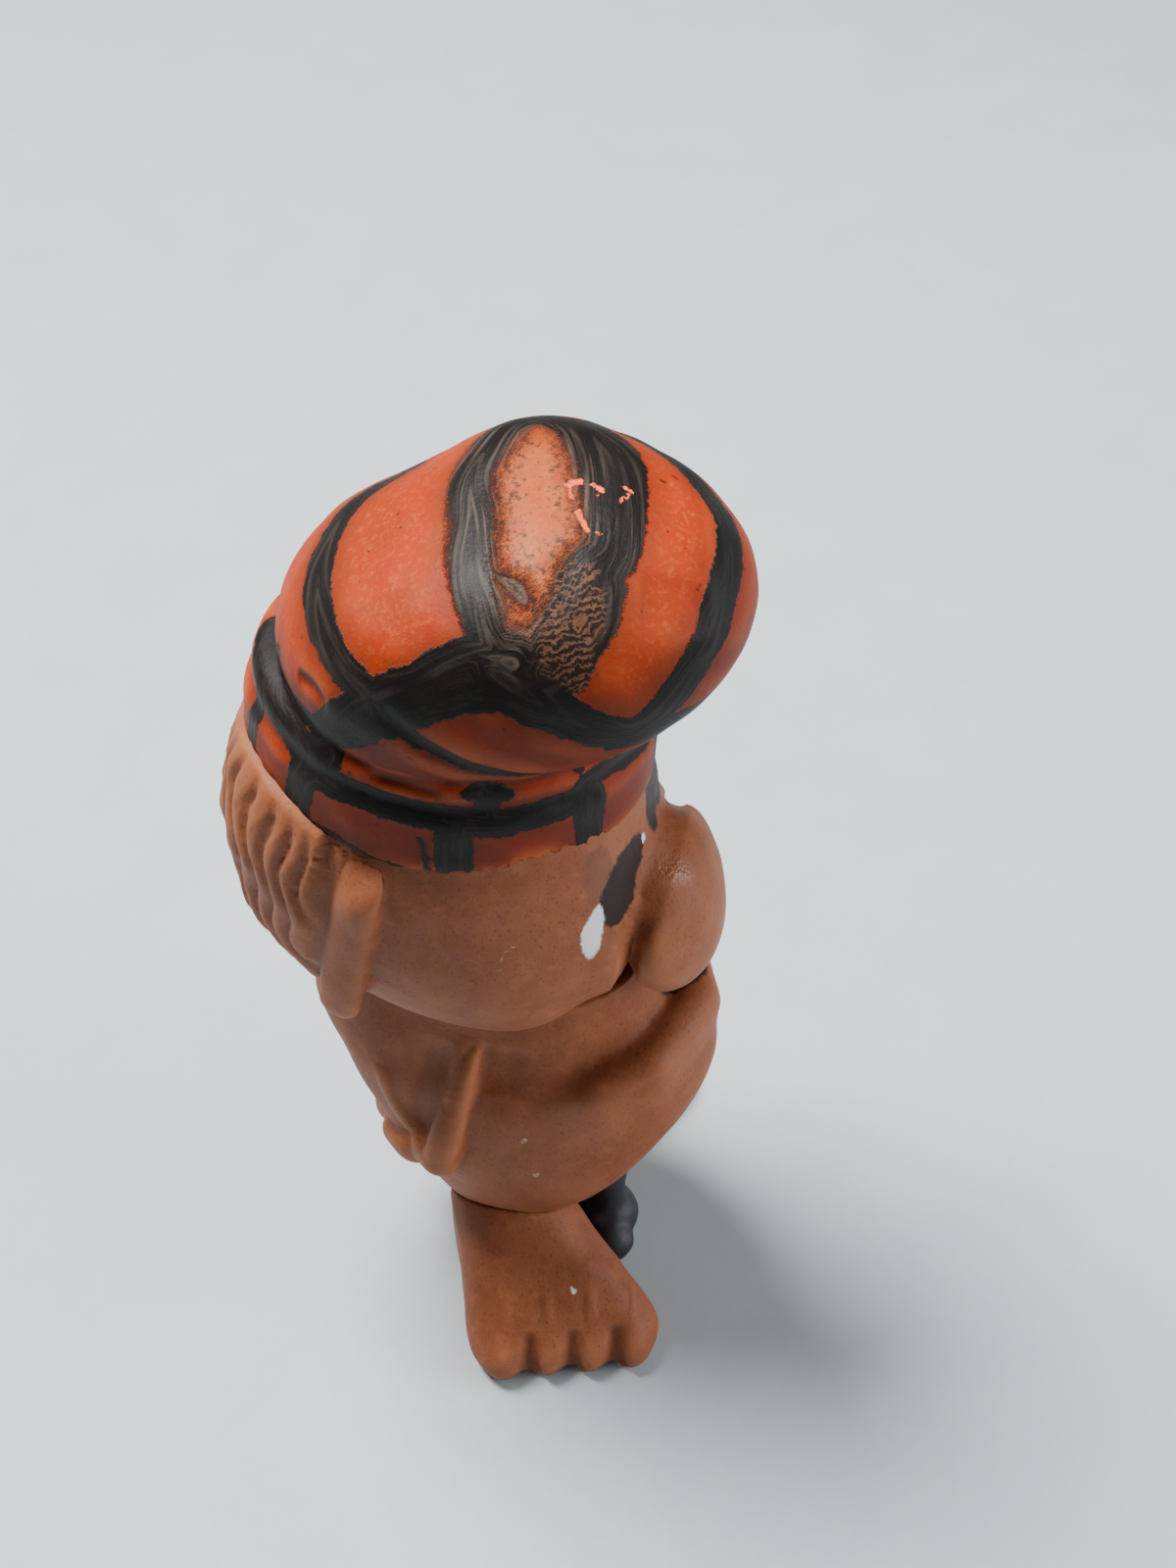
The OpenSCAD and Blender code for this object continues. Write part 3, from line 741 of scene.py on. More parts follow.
@dataclass
class Moulding:
    """A soft moulding that starts from the solid of one node."""

    node: str
    body: str
    slot: str
    voxel: float = 0.32                             # mm
    strokes: tuple[Stroke, ...] | None = None       # None where the finish reads no marks

    def build(self, material: Material) -> Piece:
        """Make the piece.

        Args:
            material: Its finish.

        Returns:
            The piece, sculpted, painted and in its node's place.
        """
        piece = self.start()
        self.sculpt(piece)
        if self.strokes is not None:
            paint = Paint(self.points(piece), self.tree(piece))
            paint.brush(self.strokes)
            paint.write(piece.data)
            self.hollows(piece)
        piece.data.shade_smooth()
        piece.data.materials.append(material)
        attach(piece, self.body)
        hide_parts(self.node)
        log.info("%s: %d vertices", piece.name, len(piece.data.vertices))
        return piece

    def start(self) -> Piece:
        """Copy the node's solid and remesh the copy finely.

        Returns:
            The new piece, at the origin.
        """
        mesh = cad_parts[self.node].data.copy()
        mesh.materials.clear()
        whole = bmesh.new()
        whole.from_mesh(mesh)
        bmesh.ops.remove_doubles(whole, verts=whole.verts, dist=SAME_PLACE)
        whole.to_mesh(mesh)
        whole.free()
        piece = bpy.data.objects.new(f"{self.node}_moulding", mesh)
        bpy.context.scene.collection.objects.link(piece)
        remesh = piece.modifiers.new("Remesh", "REMESH")
        remesh.mode = "VOXEL"
        remesh.voxel_size = self.voxel * MM
        remesh.use_smooth_shade = True
        bpy.context.view_layer.update()
        fine = bpy.data.meshes.new_from_object(piece.evaluated_get(bpy.context.evaluated_depsgraph_get()))
        piece.modifiers.clear()
        piece.data = fine
        for name in [a.name for a in fine.attributes if not a.is_required and a.name != "sharp_face"]:
            fine.attributes.remove(fine.attributes[name])
        fine.name = piece.name
        return piece

    def sculpt(self, piece: Piece) -> None:
        """Give the remeshed copy its form."""
        raise NotImplementedError

    @staticmethod
    def points(piece: Piece) -> np.ndarray:
        """Places of the piece's vertices in mm."""
        flat = np.empty(len(piece.data.vertices) * 3, np.float64)
        piece.data.vertices.foreach_get("co", flat)
        return flat.reshape(-1, 3) / MM

    @staticmethod
    def normals(piece: Piece) -> np.ndarray:
        """Normals of the piece's vertices."""
        flat = np.empty(len(piece.data.vertices) * 3, np.float32)
        piece.data.vertex_normals.foreach_get("vector", flat)
        return flat.reshape(-1, 3).astype(np.float64)

    @staticmethod
    def put(piece: Piece, points: np.ndarray) -> None:
        """Write places in mm back to the piece."""
        piece.data.vertices.foreach_set("co", (points * MM).ravel())
        piece.data.update()

    def lifted(self, piece: Piece, lift: np.ndarray) -> np.ndarray:
        """Places of the piece's vertices, each moved along its normal by its own lift in mm."""
        return self.points(piece) + self.normals(piece) * lift[:, None]

    def uneven(self, piece: Piece, seed: int, *swells: tuple[float, float]) -> np.ndarray:
        """Lift in mm for the unevenness of hand-made vinyl.

        Args:
            piece: The piece that it is for.
            seed: Picks the first ripple, and the next ones follow.
            swells: Height and rough width in mm of each ripple.

        Returns:
            One lift for each vertex.
        """
        points = self.points(piece)
        return sum(height * ripple(points, size, seed + i) for i, (height, size) in enumerate(swells))

    @staticmethod
    def soften(piece: Piece, passes: int, chosen: np.ndarray) -> None:
        """Smooth the chosen vertices.

        Args:
            piece: The piece to smooth.
            passes: Rounds of smoothing.
            chosen: True for each vertex that may move.
        """
        soft = bmesh.new()
        soft.from_mesh(piece.data)
        soft.verts.ensure_lookup_table()
        loose = [soft.verts[i] for i in np.flatnonzero(chosen)]
        for _ in range(passes):
            bmesh.ops.smooth_vert(soft, verts=loose, factor=0.5,
                                  use_axis_x=True, use_axis_y=True, use_axis_z=True)
        soft.to_mesh(piece.data)
        soft.free()
        piece.data.update()

    def tree(self, piece: Piece) -> BVHTree:
        """Search tree of the piece's faces in mm."""
        faces = [tuple(p.vertices) for p in piece.data.polygons]
        return BVHTree.FromPolygons([Vector(c) for c in self.points(piece)], faces)

    def away(self, piece: Piece, stroke: Stroke) -> np.ndarray:
        """Signed distance in mm from every vertex to a stroke."""
        paint = Paint(self.points(piece), self.tree(piece))
        paint.brush((stroke,))
        return paint.mark(stroke.layer.value, FAR)

    def press(self, piece: Piece, presses: tuple[Press, ...], allowed: np.ndarray) -> None:
        """Press ridges and grooves into the piece.

        Args:
            piece: The piece to shape.
            presses: The ridges and grooves.
            allowed: True for each vertex that may move.
        """
        points = self.points(piece)
        tree = self.tree(piece)
        lift = np.zeros(len(points))
        for press in presses:
            paint = Paint(points, tree)
            paint.brush((press.stroke,))
            gap = np.maximum(paint.mark(press.stroke.layer.value, FAR), 0)
            taper = 1 - (2 * paint.mark("along", 0.5) - 1) ** 4
            lift += press.height * taper * np.exp(-(gap / press.fade) ** 2)
        self.put(piece, self.lifted(piece, np.where(allowed, lift, 0)))

    def hollows(self, piece: Piece, passes: int = 26) -> None:
        """Keep how deep in mm each vertex lies below the smoothed skin, and how far it faces down."""
        start = self.points(piece)
        pairs = np.empty(len(piece.data.edges) * 2, np.int32)
        piece.data.edges.foreach_get("vertices", pairs)
        a, b = pairs.reshape(-1, 2).T
        count = np.maximum(np.bincount(pairs, minlength=len(start)), 1)
        soft = start.copy()
        for _ in range(passes):
            total = np.stack([np.bincount(a, soft[b, k], len(start)) + np.bincount(b, soft[a, k], len(start))
                              for k in range(3)], axis=1)
            soft = (soft + total / count[:, None]) / 2
        # the depth below the smoothed skin drives the painted shade in the hollows and the painted highlight
        # on the ridges
        depth = np.einsum("ij,ij->i", soft - start, self.normals(piece))
        depth -= np.median(depth)
        # how far a vertex faces down drives the painted shade on the tam's undersides
        under = ease(self.normals(piece)[:, 2], 0.75, -0.15)
        for name, values in (("hollow", depth), ("under", under)):
            keep(piece.data, name, values)


def crown(layer: Layer, *points: tuple[float, float, float]) -> Stroke:
    """Stroke over the crown of the tam."""
    return Stroke(layer, Aim.CROWN, points)


def band(layer: Layer, *points: tuple[float, float, float]) -> Stroke:
    """Stroke on the band of the tam."""
    return Stroke(layer, Aim.BAND, points)


def face(layer: Layer, *points: tuple[float, float, float]) -> Stroke:
    """Stroke on the skull."""
    return Stroke(layer, Aim.FACE, points)


def spot(layer: Layer, *points: tuple[float, float, float, float]) -> Stroke:
    """Stroke through places near the surface."""
    return Stroke(layer, Aim.SPOT, points)


def fold(height: float, fade: float, *points: tuple[float, float, float, float]) -> Press:
    """Ridge, or groove where the height is below 0, through places near the surface."""
    return Press(spot(Layer.PRESS, *points), height, fade)


CROWN_CHECK = tuple(crown(Layer.BLACK, *row) for row in (
    # stripe low round the figure's right
    ((138, 30, 1.6), (155, 25, 2.0), (173, 22, 2.4), (-166, 20, 2.6), (-145, 18, 2.8), (-130, 15, 2.6),
     (-119, 11, 2.6), (-112, 8, 2.8), (-108, 2, 3.0)),
    # ring round the rubbed place on top, and the thin line that cuts its corner
    ((78, 48, 3.0), (93, 55, 3.6), (105, 68, 3.4), (150, 80, 3.4), (-100, 74, 3.4), (-89, 60, 3.4),
     (-84, 48, 3.2), (-80, 40, 3.0), (-77, 32, 2.8), (-72, 24, 3.0)),
    ((78, 48, 3.0), (55, 50, 4.6), (28, 52, 5.0), (1, 51, 4.6), (-12, 48, 4.2), (-25, 43, 3.8),
     (-35, 41, 4.2), (-42, 36, 4.6), (-49, 31, 4.8), (-56, 26, 4.8), (-62, 21, 4.6)),
    ((-99, 55, 0.5), (-85, 54, 0.6), (-73, 49, 0.7), (-65, 44, 1.0), (-63, 40, 0.5)),
    # stripes that fall to the front and run round the crown's lower edge
    ((62, 36, 2.2), (40, 32, 2.2), (25, 29, 2.4), (12, 26, 2.6), (0, 23, 2.8), (-11, 20, 3.0), (-21, 14, 3.0),
     (-29, 8, 3.0), (-37, 1, 3.0), (-45, -2, 2.8)),
    ((-79, 24, 3.0), (-74, 21, 4.4), (-67, 16, 4.4), (-60, 10, 3.2), (-51, 3, 3.0), (-40, -3, 3.0),
     (-28, -6, 2.8), (-10, -8, 2.6), (4, -8, 2.6), (28, 0, 2.6), (52, 10, 2.8), (78, 16, 2.8), (104, 14, 2.6),
     (130, 6, 2.4), (152, -4, 2.4), (180, -9, 2.2), (-155, -13, 2.2), (-132, -12, 2.0)),
    ((-116, 4, 2.6), (-110, 9, 2.8), (-99, 16, 2.7), (-89, 23, 2.9), (-79, 26, 3.2), (-70, 24, 4.4)),
    ((-103, 5, 2.4), (-93, 11, 2.4), (-84, 15, 2.6), (-74, 17, 3.0)),
    ((-110, 7, 1.6), (-102, 0, 1.4), (-92, -6, 1.2), (-82, -12, 1.2), (-68, -18, 1.2), (-55, -27, 1.0),
     (-47, -33, 0.9)),
    ((-132, -12, 2.0), (-123, -4, 2.6), (-116, 4, 2.6)),
    ((-124, -10, 2.4), (-115, -3, 2.8), (-109, 3, 2.6)),
    ((60, 40, 2.2), (72, 24, 2.6), (80, 8, 2.6), (82, -8, 2.4), (84, -30, 2.2)),
    ((138, 30, 2.0), (132, 16, 2.4), (126, 2, 2.4), (124, -12, 2.2), (122, -34, 2.0)),
))
BAND_CHECK = tuple(band(Layer.BLACK, *row) for row in (
    # stripe round the band's upper edge, the stripes that fall from it, and thin lines along its lower edge
    ((178, 69.6, 1.6), (-167, 69.3, 1.6), (-151, 68.8, 2.0), (-134, 67.6, 2.0), (-119, 66.0, 2.4),
     (-102, 65.4, 2.3), (-86, 64.7, 2.3), (-75, 64.1, 2.3), (-61, 63.4, 2.3), (-48, 63.4, 2.3),
     (-36, 63.3, 2.3), (-29, 64.4, 1.8), (0, 63.0, 1.6), (25, 63.2, 1.6), (50, 63.8, 1.6), (75, 64.6, 1.6),
     (100, 66.0, 1.6), (125, 67.8, 1.6), (150, 69.0, 1.6), (176, 69.6, 1.6)),
    ((-146, 69.1, 1.4), (-132, 68.5, 1.6), (-121, 67.6, 1.8), (-113, 67.5, 2.2)),
    ((-147, 72, 1.2), (-149, 69, 1.8), (-150, 66.2, 1.8), (-152, 62.5, 1.8)),
    ((-115, 67.9, 3.4), (-119, 66.3, 3.2), (-123, 64.8, 2.8), (-126, 61.5, 2.6), (-127, 60, 2.2)),
    ((-73, 63.8, 2.9), (-74.5, 61.5, 2.8), (-75, 59.2, 2.6)),
    ((-83.5, 62.6, 0.5), (-82.5, 59.6, 0.5)),
    ((-33, 62.7, 3.0), (-33, 60, 2.6), (-32, 57.6, 2.0)),
    ((-68, 66.4, 1.0), (-62, 66.2, 1.5), (-57, 65.8, 1.2)),
    ((-64, 67.0, 1.4), (-63, 65.4, 1.7), (-62, 63.6, 1.6)),
    ((-120, 61.2, 0.6), (-112, 60.8, 0.6), (-100, 59.8, 0.5), (-90, 59.2, 0.4)),
    *(((lon, top, 2.4), (lon + 1, top - 3.2, 2.6), (lon, top - 6.2, 2.3))
      for lon, top in ((4, 63.2), (44, 64), (84, 65), (124, 67.4), (166, 69))),
))
RUBBED = (
    crown(Layer.FILM, (95, 68, 5.0), (20, 78, 8.5), (-40, 68, 10.5), (-50, 56, 10.0), (-56, 44, 7.5),
          (-62, 33, 4.0)),
    crown(Layer.SMEAR, (-43, 40, 3.6), (-49, 33, 4.2), (-55, 26, 4.0), (-54, 19, 2.4)),
) + tuple(crown(Layer.CHIP, *chip) for chip in (
    ((6, 64, 0.4), (9, 61, 0.5), (8, 59, 0.3)), ((5, 63, 0.25), (-7, 61, 0.25)),
    ((8, 57, 0.35), (2, 54, 0.35)), ((2, 54, 0.3), (-2, 55, 0.25)),
    ((7, 49, 0.35), (5, 47, 0.25)), ((5, 47, 0.25), (-2, 49, 0.25)),
    ((-16, 57, 0.35), (-21, 54, 0.4), (-24, 51, 0.25)), ((-22, 49, 0.25), (-22, 48, 0.25))))


@dataclass
class Tam(Moulding):
    """Checked tam with a puffed crown, a rolled fold and a band."""

    node: str = "cap"
    body: str = "head"
    slot: str = "tam_vinyl"
    fold_z: float = 70          # mm, all below it is outside
    band_sides: int = 40
    strokes: tuple[Stroke, ...] | None = CROWN_CHECK + BAND_CHECK + RUBBED
    wrinkles: tuple[Press, ...] = tuple(Press(on(Layer.PRESS, *row), high, fade) for on, high, fade, row in (
        (crown, -0.35, 0.5, ((-140, 0, 0.2), (-132, 1, 0.3), (-126, -1, 0.2))),
        (crown, 0.15, 0.6, ((15, 30, 0.4), (-2, 27, 0.5), (-14, 21, 0.5), (-22, 14, 0.5), (-29, 12, 0.3))),
        (crown, -0.35, 0.7, ((-110, 7, 0.3), (-102, 0, 0.3), (-92, -6, 0.3), (-82, -12, 0.3), (-68, -18, 0.3),
                             (-55, -27, 0.3), (-47, -33, 0.2))),
        (crown, -0.2, 1.0, ((-30, 31, 1), (-22, 24, 1.4), (-24, 17, 1))),
        (band, 0.25, 0.5, ((-99, 68.1, 0.4), (-88, 67.9, 0.6), (-81, 67.4, 0.6), (-76, 67.2, 0.4))),
        (band, -0.35, 0.35, ((-99, 67.3, 0.1), (-88, 67.1, 0.2), (-81, 66.6, 0.2), (-76, 66.4, 0.1))),
    ))

    def sculpt(self, piece: Piece) -> None:
        """Round the crown and the band, ripple their outside and crease it."""
        points = self.round_band(CROWN.settle(self.points(piece), 0.3))
        self.put(piece, points)
        ways, radii = CROWN.local(points)
        outer = (radii > CROWN.reach(ways) - 0.9) | (points[:, 2] < self.fold_z)
        self.soften(piece, 5, outer)
        lift = np.where(outer, self.uneven(piece, 1, (0.1, 5), (0.05, 1.8)), 0)
        self.put(piece, self.lifted(piece, lift))
        self.press(piece, self.wrinkles, outer)

    def round_band(self, points: np.ndarray) -> np.ndarray:
        """Take the facets off the outside of the band."""
        centre = np.array(BAND_CENTRE)
        local = tilt_x(points - centre, -BAND_TILT)
        scaled = local[:, :2] / np.array(BAND_HALF)
        radii = np.linalg.norm(scaled, axis=1)
        step = 2 * math.pi / self.band_sides
        turn = np.mod(np.arctan2(scaled[:, 1], scaled[:, 0]), step) - step / 2
        full = np.cos(turn) / math.cos(step / 2)
        outside = (radii > 0.925) & (radii < 1.02) & (np.abs(local[:, 2]) < 5)
        local[outside, :2] *= full[outside, None]
        return np.where(outside[:, None], tilt_x(local, BAND_TILT) + centre, points)


@dataclass
class Face(Moulding):
    """Head with a round nose, flat ears and hair that waves down the back."""

    node: str = "head"
    body: str = "head"
    slot: str = "skin_vinyl"
    voxel: float = 0.3
    seam_z: float = 38
    nose_top: float = 54
    neck_top: float = 44
    ear: tuple[tuple[float, float, float], ...] = ((13.2, 9.4, 42.6), (15, 4.6, 60.4))
    ear_radius: float = 3.8
    lock_pitch: float = 7.6         # degrees from groove to groove
    lock_depth: float = 1.0         # mm

    folds: tuple[Press, ...] = tuple(
        Press(face(Layer.PRESS, (side * 23, -14, 2), (side * 23, -24, 3), (side * 21, -36, 3.4)), 1.3, 2.2)
        for side in (-1, 1))
    strokes: tuple[Stroke, ...] | None = (
        face(Layer.BLACK, (-11, 3, 1.6), (-15, 3, 3.2), (-20, 2, 4.2), (-23.5, -1.5, 4.6), (-25.5, -4, 4.2)),
        face(Layer.BLACK, (-33, -3, 0.8), (-30, -3.5, 1.6), (-27, -3.5, 2.4)),
        face(Layer.BLACK, (0, 2, 1.8), (3, 6, 3.4), (8, 8, 4.4), (14, 5, 4.4), (20, 1, 3.6), (25, -5, 1.6)),
        face(Layer.SMEAR, (-30, 13, 2.6), (-30, 6, 3.4), (-29, 0, 2.6), (-30, -5, 1.4)),
        face(Layer.WHITE, (-32.5, -1.5, 0.8), (-34, -4.5, 1.7), (-35.5, -8, 2.1), (-36.5, -11.5, 1.5),
             (-37.2, -13.5, 0.6)),
        face(Layer.WHITE, (33, -3, 1.2), (34, -7, 2.2), (35, -11, 2.3), (36, -14, 1.2)),
        face(Layer.WHITE, (-8.5, 4, 0.4), (-7.8, 2.5, 0.7)),
        spot(Layer.GLOSS, (-3.4, -14.4, 51.2, 1.0), (-2.6, -15.0, 50.8, 2.0), (-2.2, -15.8, 49.8, 1.0)),
    # four tiny pale dots on the figure's right cheek, painted glints
    ) + tuple(face(Layer.PALE, (lon, lat, 0.15), (lon + 1, lat + 0.5, 0.1))
              for lon, lat in ((-59, -4), (-57, -3), (-61, -7), (-62, -11)))

    def sculpt(self, piece: Piece) -> None:
        """Widen the nose, comb the hair, soften all above the seam and ripple the outside."""
        points = NOSE.settle(SKULL.settle(self.points(piece), 0.25), 0.25)
        full = ease(-points[:, 1], 11.4, 14.6) * (points[:, 2] < self.nose_top)
        points[:, 2] -= 0.6 * full
        points[:, 0] *= 1 + (0.3 + 0.12 * ease(9 - np.abs(points[:, 0]), 0, 3)) * full
        self.put(piece, self.comb(points))
        self.press(piece, self.folds, points[:, 2] > self.seam_z + 0.3)

        points = self.points(piece)
        z = points[:, 2]
        ways, radii = SKULL.local(points)
        skin = SKULL.reach(ways)
        nose_ways, nose_radii = NOSE.local(points)
        off_nose = np.abs(nose_radii - NOSE.reach(nose_ways))
        soft = ~((np.hypot(points[:, 0], points[:, 1]) < NECK_RADIUS) & (z < self.neck_top))
        bald = soft & ~(self.hairline(ways, points) > 0.3)
        root = (off_nose < 3) & (radii < skin + 2.4) & (z < self.nose_top)
        beside = (radii > skin - 1.5) & (radii < skin + 1.9) & (np.abs(points[:, 0]) > 4.4) & (z < 51)
        crease = (off_nose < 4) & beside
        ear = self.near_ear(points)
        for passes, chosen, above in (
                (2, soft, 0.1), (6, bald, 0.5), (36, root, 0.3), (110, crease, 0.3), (5, ear, 0.5)):
            self.soften(piece, passes, chosen & (z > self.seam_z + above))
        self.put(piece, self.sink_ear_tops(self.points(piece), ear))

        lift = np.where(radii > skin - 0.9, self.uneven(piece, 11, (0.07, 5), (0.03, 1.6)), 0)
        moved = self.lifted(piece, lift)
        moved[:, 2] = np.maximum(moved[:, 2], self.seam_z)
        self.put(piece, moved)

    def near_ear(self, points: np.ndarray) -> np.ndarray:
        """True for the places on the ears."""
        foot, top = (np.array(end) for end in self.ear)
        span = top - foot
        folded = np.column_stack([np.abs(points[:, 0]), points[:, 1:]])
        share = np.clip((folded - foot) @ span / (span @ span), 0, 1)
        ways, radii = SKULL.local(points)
        away = np.linalg.norm(folded - foot - share[:, None] * span, axis=1)
        return (away < self.ear_radius) & (radii > SKULL.reach(ways) + 0.1)

    @staticmethod
    def sink_ear_tops(points: np.ndarray, ear: np.ndarray) -> np.ndarray:
        """Let the top of each ear run out into the skull under the band."""
        ways, radii = SKULL.local(points)
        reach = SKULL.reach(ways)
        share = np.where(ear & (radii > reach), ease(points[:, 2], 55, 60.5), 0)
        return SKULL.place(ways, radii + share * (reach - 0.1 - radii))

    @staticmethod
    def hairline(ways: np.ndarray, points: np.ndarray) -> np.ndarray:
        """How far each place belongs to the hair, from 0 to 1, behind the ears."""
        lon = np.abs(np.degrees(np.arctan2(ways[:, 0], -ways[:, 1])))
        line = np.interp(points[:, 2], (38, 42, 60), (130, 121, 105))
        return ease(lon - line, 0, 6)

    def comb(self, points: np.ndarray) -> np.ndarray:
        """Lay wavy locks on the back of the skull.

        Args:
            points: Places in mm.

        Returns:
            The places with the hair in its new locks.
        """
        ways, radii = SKULL.local(points)
        reach = SKULL.reach(ways)
        lon = np.degrees(np.arctan2(ways[:, 0], -ways[:, 1]))
        lon = np.where(lon < 0, lon + 360, lon)
        z = points[:, 2]
        phase = (lon - 180) / self.lock_pitch + 0.2 * np.sin(0.8 * z + 0.11 * lon) \
            + 0.25 * np.sin(0.27 * z - 0.13 * lon)
        crest = np.abs(np.cos(math.pi * phase)) ** 0.5
        part = np.abs(np.cos(math.pi * (2 * phase + 0.6 * np.sin(0.8 * z)))) ** 0.5
        share = self.hairline(ways, points)
        end = ease(z, self.seam_z + 0.2, self.seam_z + 4)

        # waves fade out below the band, and a smooth top runs up to it where the skull stands proud of it
        skin = tilt_x(SKULL.place(ways, reach) - np.array(BAND_CENTRE), -BAND_TILT)
        proud = np.linalg.norm(skin[:, :2] / np.array(BAND_HALF), axis=1)
        top = 1 - (1 - ease(proud, 0.955, 0.99)) * ease(skin[:, 2], -6, -5)
        waved = 1 - (1 - ease(proud, 0.98, 1.04)) * ease(skin[:, 2], -10, -6)
        height = self.lock_depth * (0.7 + (0.85 * crest + 0.15 * part - 0.7) * waved)
        height = height + 0.12 * ripple(points, 2.4, 21)
        outer = (radii > reach - 0.8) & (radii < reach + 2) & (share > 0)
        target = reach + share * end * top * height - 0.3 * share * (1 - top)
        moved = SKULL.place(ways, np.where(outer, target, radii))
        moved[:, 2] = np.maximum(moved[:, 2], self.seam_z)
        return moved


@dataclass
class Torso(Moulding):
    """Body with a round belly, a soft rim, and arms folded flat with the hands behind the back."""

    node: str = "body"
    body: str = "figure"
    slot: str = "skin_vinyl"
    shoulder_z: float = 37.6
    neck_foot: float = 33
    stem: tuple[float, float] = (-2.6, -8.5)
    stem_radius: float = 3
    stem_top: float = 16
    belly_z: tuple[float, float] = (22, 31.6)
    arm_reach: float = 2.5      # mm round the arm that keeps its edges
    arm: Stroke = spot(Layer.PRESS, (-9, -0.4, 33.6, 2), (-12.7, 3, 22.3, 3.4), (-5.4, 9.7, 18.1, 3))

    strokes: tuple[Stroke, ...] | None = (
        spot(Layer.BLACK, (-1.0, -13.6, 34.0, 0.8), (0.4, -14.6, 33.8, 2.0), (1.6, -15.6, 33.8, 2.2),
             (2.8, -16.2, 33.6, 1.2)),
        spot(Layer.PALE, (-12.1, -4.3, 25.7, 0.4), (-12.1, -4.0, 25.5, 0.3)),
        spot(Layer.PALE, (-12.3, -5.1, 21.5, 0.4), (-12.3, -4.9, 21.3, 0.3)),
    )
    # the arm stands off the side as a flat tab, with a hollow before it, a groove behind it and a soft hand,
    # and last comes the valley under the chest's rim
    folds: tuple[Press, ...] = (
        fold(0.65, 0.5, (-9.4, 0.2, 35.0, 1.2), (-10.0, 0.7, 32.6, 1.4), (-11.2, 1.4, 29.4, 1.6),
             (-12.5, 2.2, 25.8, 1.8), (-13.4, 3.0, 22.8, 1.4)),
        fold(-0.5, 1.6, (-9.3, -2.2, 34.0, 1.2), (-9.6, -2.0, 32.2, 1.6), (-10.4, -1.8, 29.6, 1.0)),
        fold(-0.55, 0.9, (-9.2, 2.8, 34, 0.8), (-10.2, 3.6, 30, 0.8), (-11.6, 4.6, 26, 0.8),
             (-12.6, 5.4, 23, 0.8)),
        fold(0.4, 0.6, (-8.9, 8.1, 29.5, 0.5), (-10.2, 6.9, 25.3, 0.5), (-12.7, 5.1, 22.3, 0.5)),
        fold(0.9, 0.6, (-11.8, 5.2, 20.6, 2.2), (-9.4, 7.4, 19.2, 2.2), (-7, 8.6, 18.4, 2.0)),
        fold(-0.15, 1.6, (-9.6, -5.2, 31.2, 0.8), (-9.4, -8.0, 31.6, 1.2), (-7.6, -10.8, 32.6, 1.4),
             (-5.0, -12.6, 33.2, 1.2), (-2.6, -13.4, 33.6, 0.8)),
    )

    def sculpt(self, piece: Piece) -> None:
        """Round the loft, soften all but what meets other pieces, and press the folds of both sides."""
        self.put(piece, TORSO.settle(self.points(piece), 0.3))
        x, y, z = self.points(piece).T
        near_neck = (np.hypot(x, y) < NECK_RADIUS) & (z > self.neck_foot)
        near_stem = (np.hypot(x - self.stem[0], y - self.stem[1]) < self.stem_radius) & (z < self.stem_top)
        soft = ~(near_neck | near_stem | (z > self.shoulder_z - 0.3))
        to_arm = np.minimum(self.away(piece, self.arm), self.away(piece, mirrored(self.arm)))
        self.soften(piece, 3, soft)
        self.soften(piece, 9, soft & ~(to_arm < self.arm_reach))
        _, y, z = self.points(piece).T
        self.soften(piece, 40, soft & (y < -5) & (z > self.belly_z[0]) & (z < self.belly_z[1]))
        _, _, radii, reach = TORSO.level(self.points(piece))
        outer = soft & (radii > reach - 1)
        left = tuple(replace(right, stroke=mirrored(right.stroke)) for right in self.folds)
        self.press(piece, self.folds + left, outer)
        self.soften(piece, 1, outer)
        lift = np.where(outer, self.uneven(piece, 31, (0.08, 5), (0.03, 1.7)), 0)
        self.put(piece, self.lifted(piece, lift))


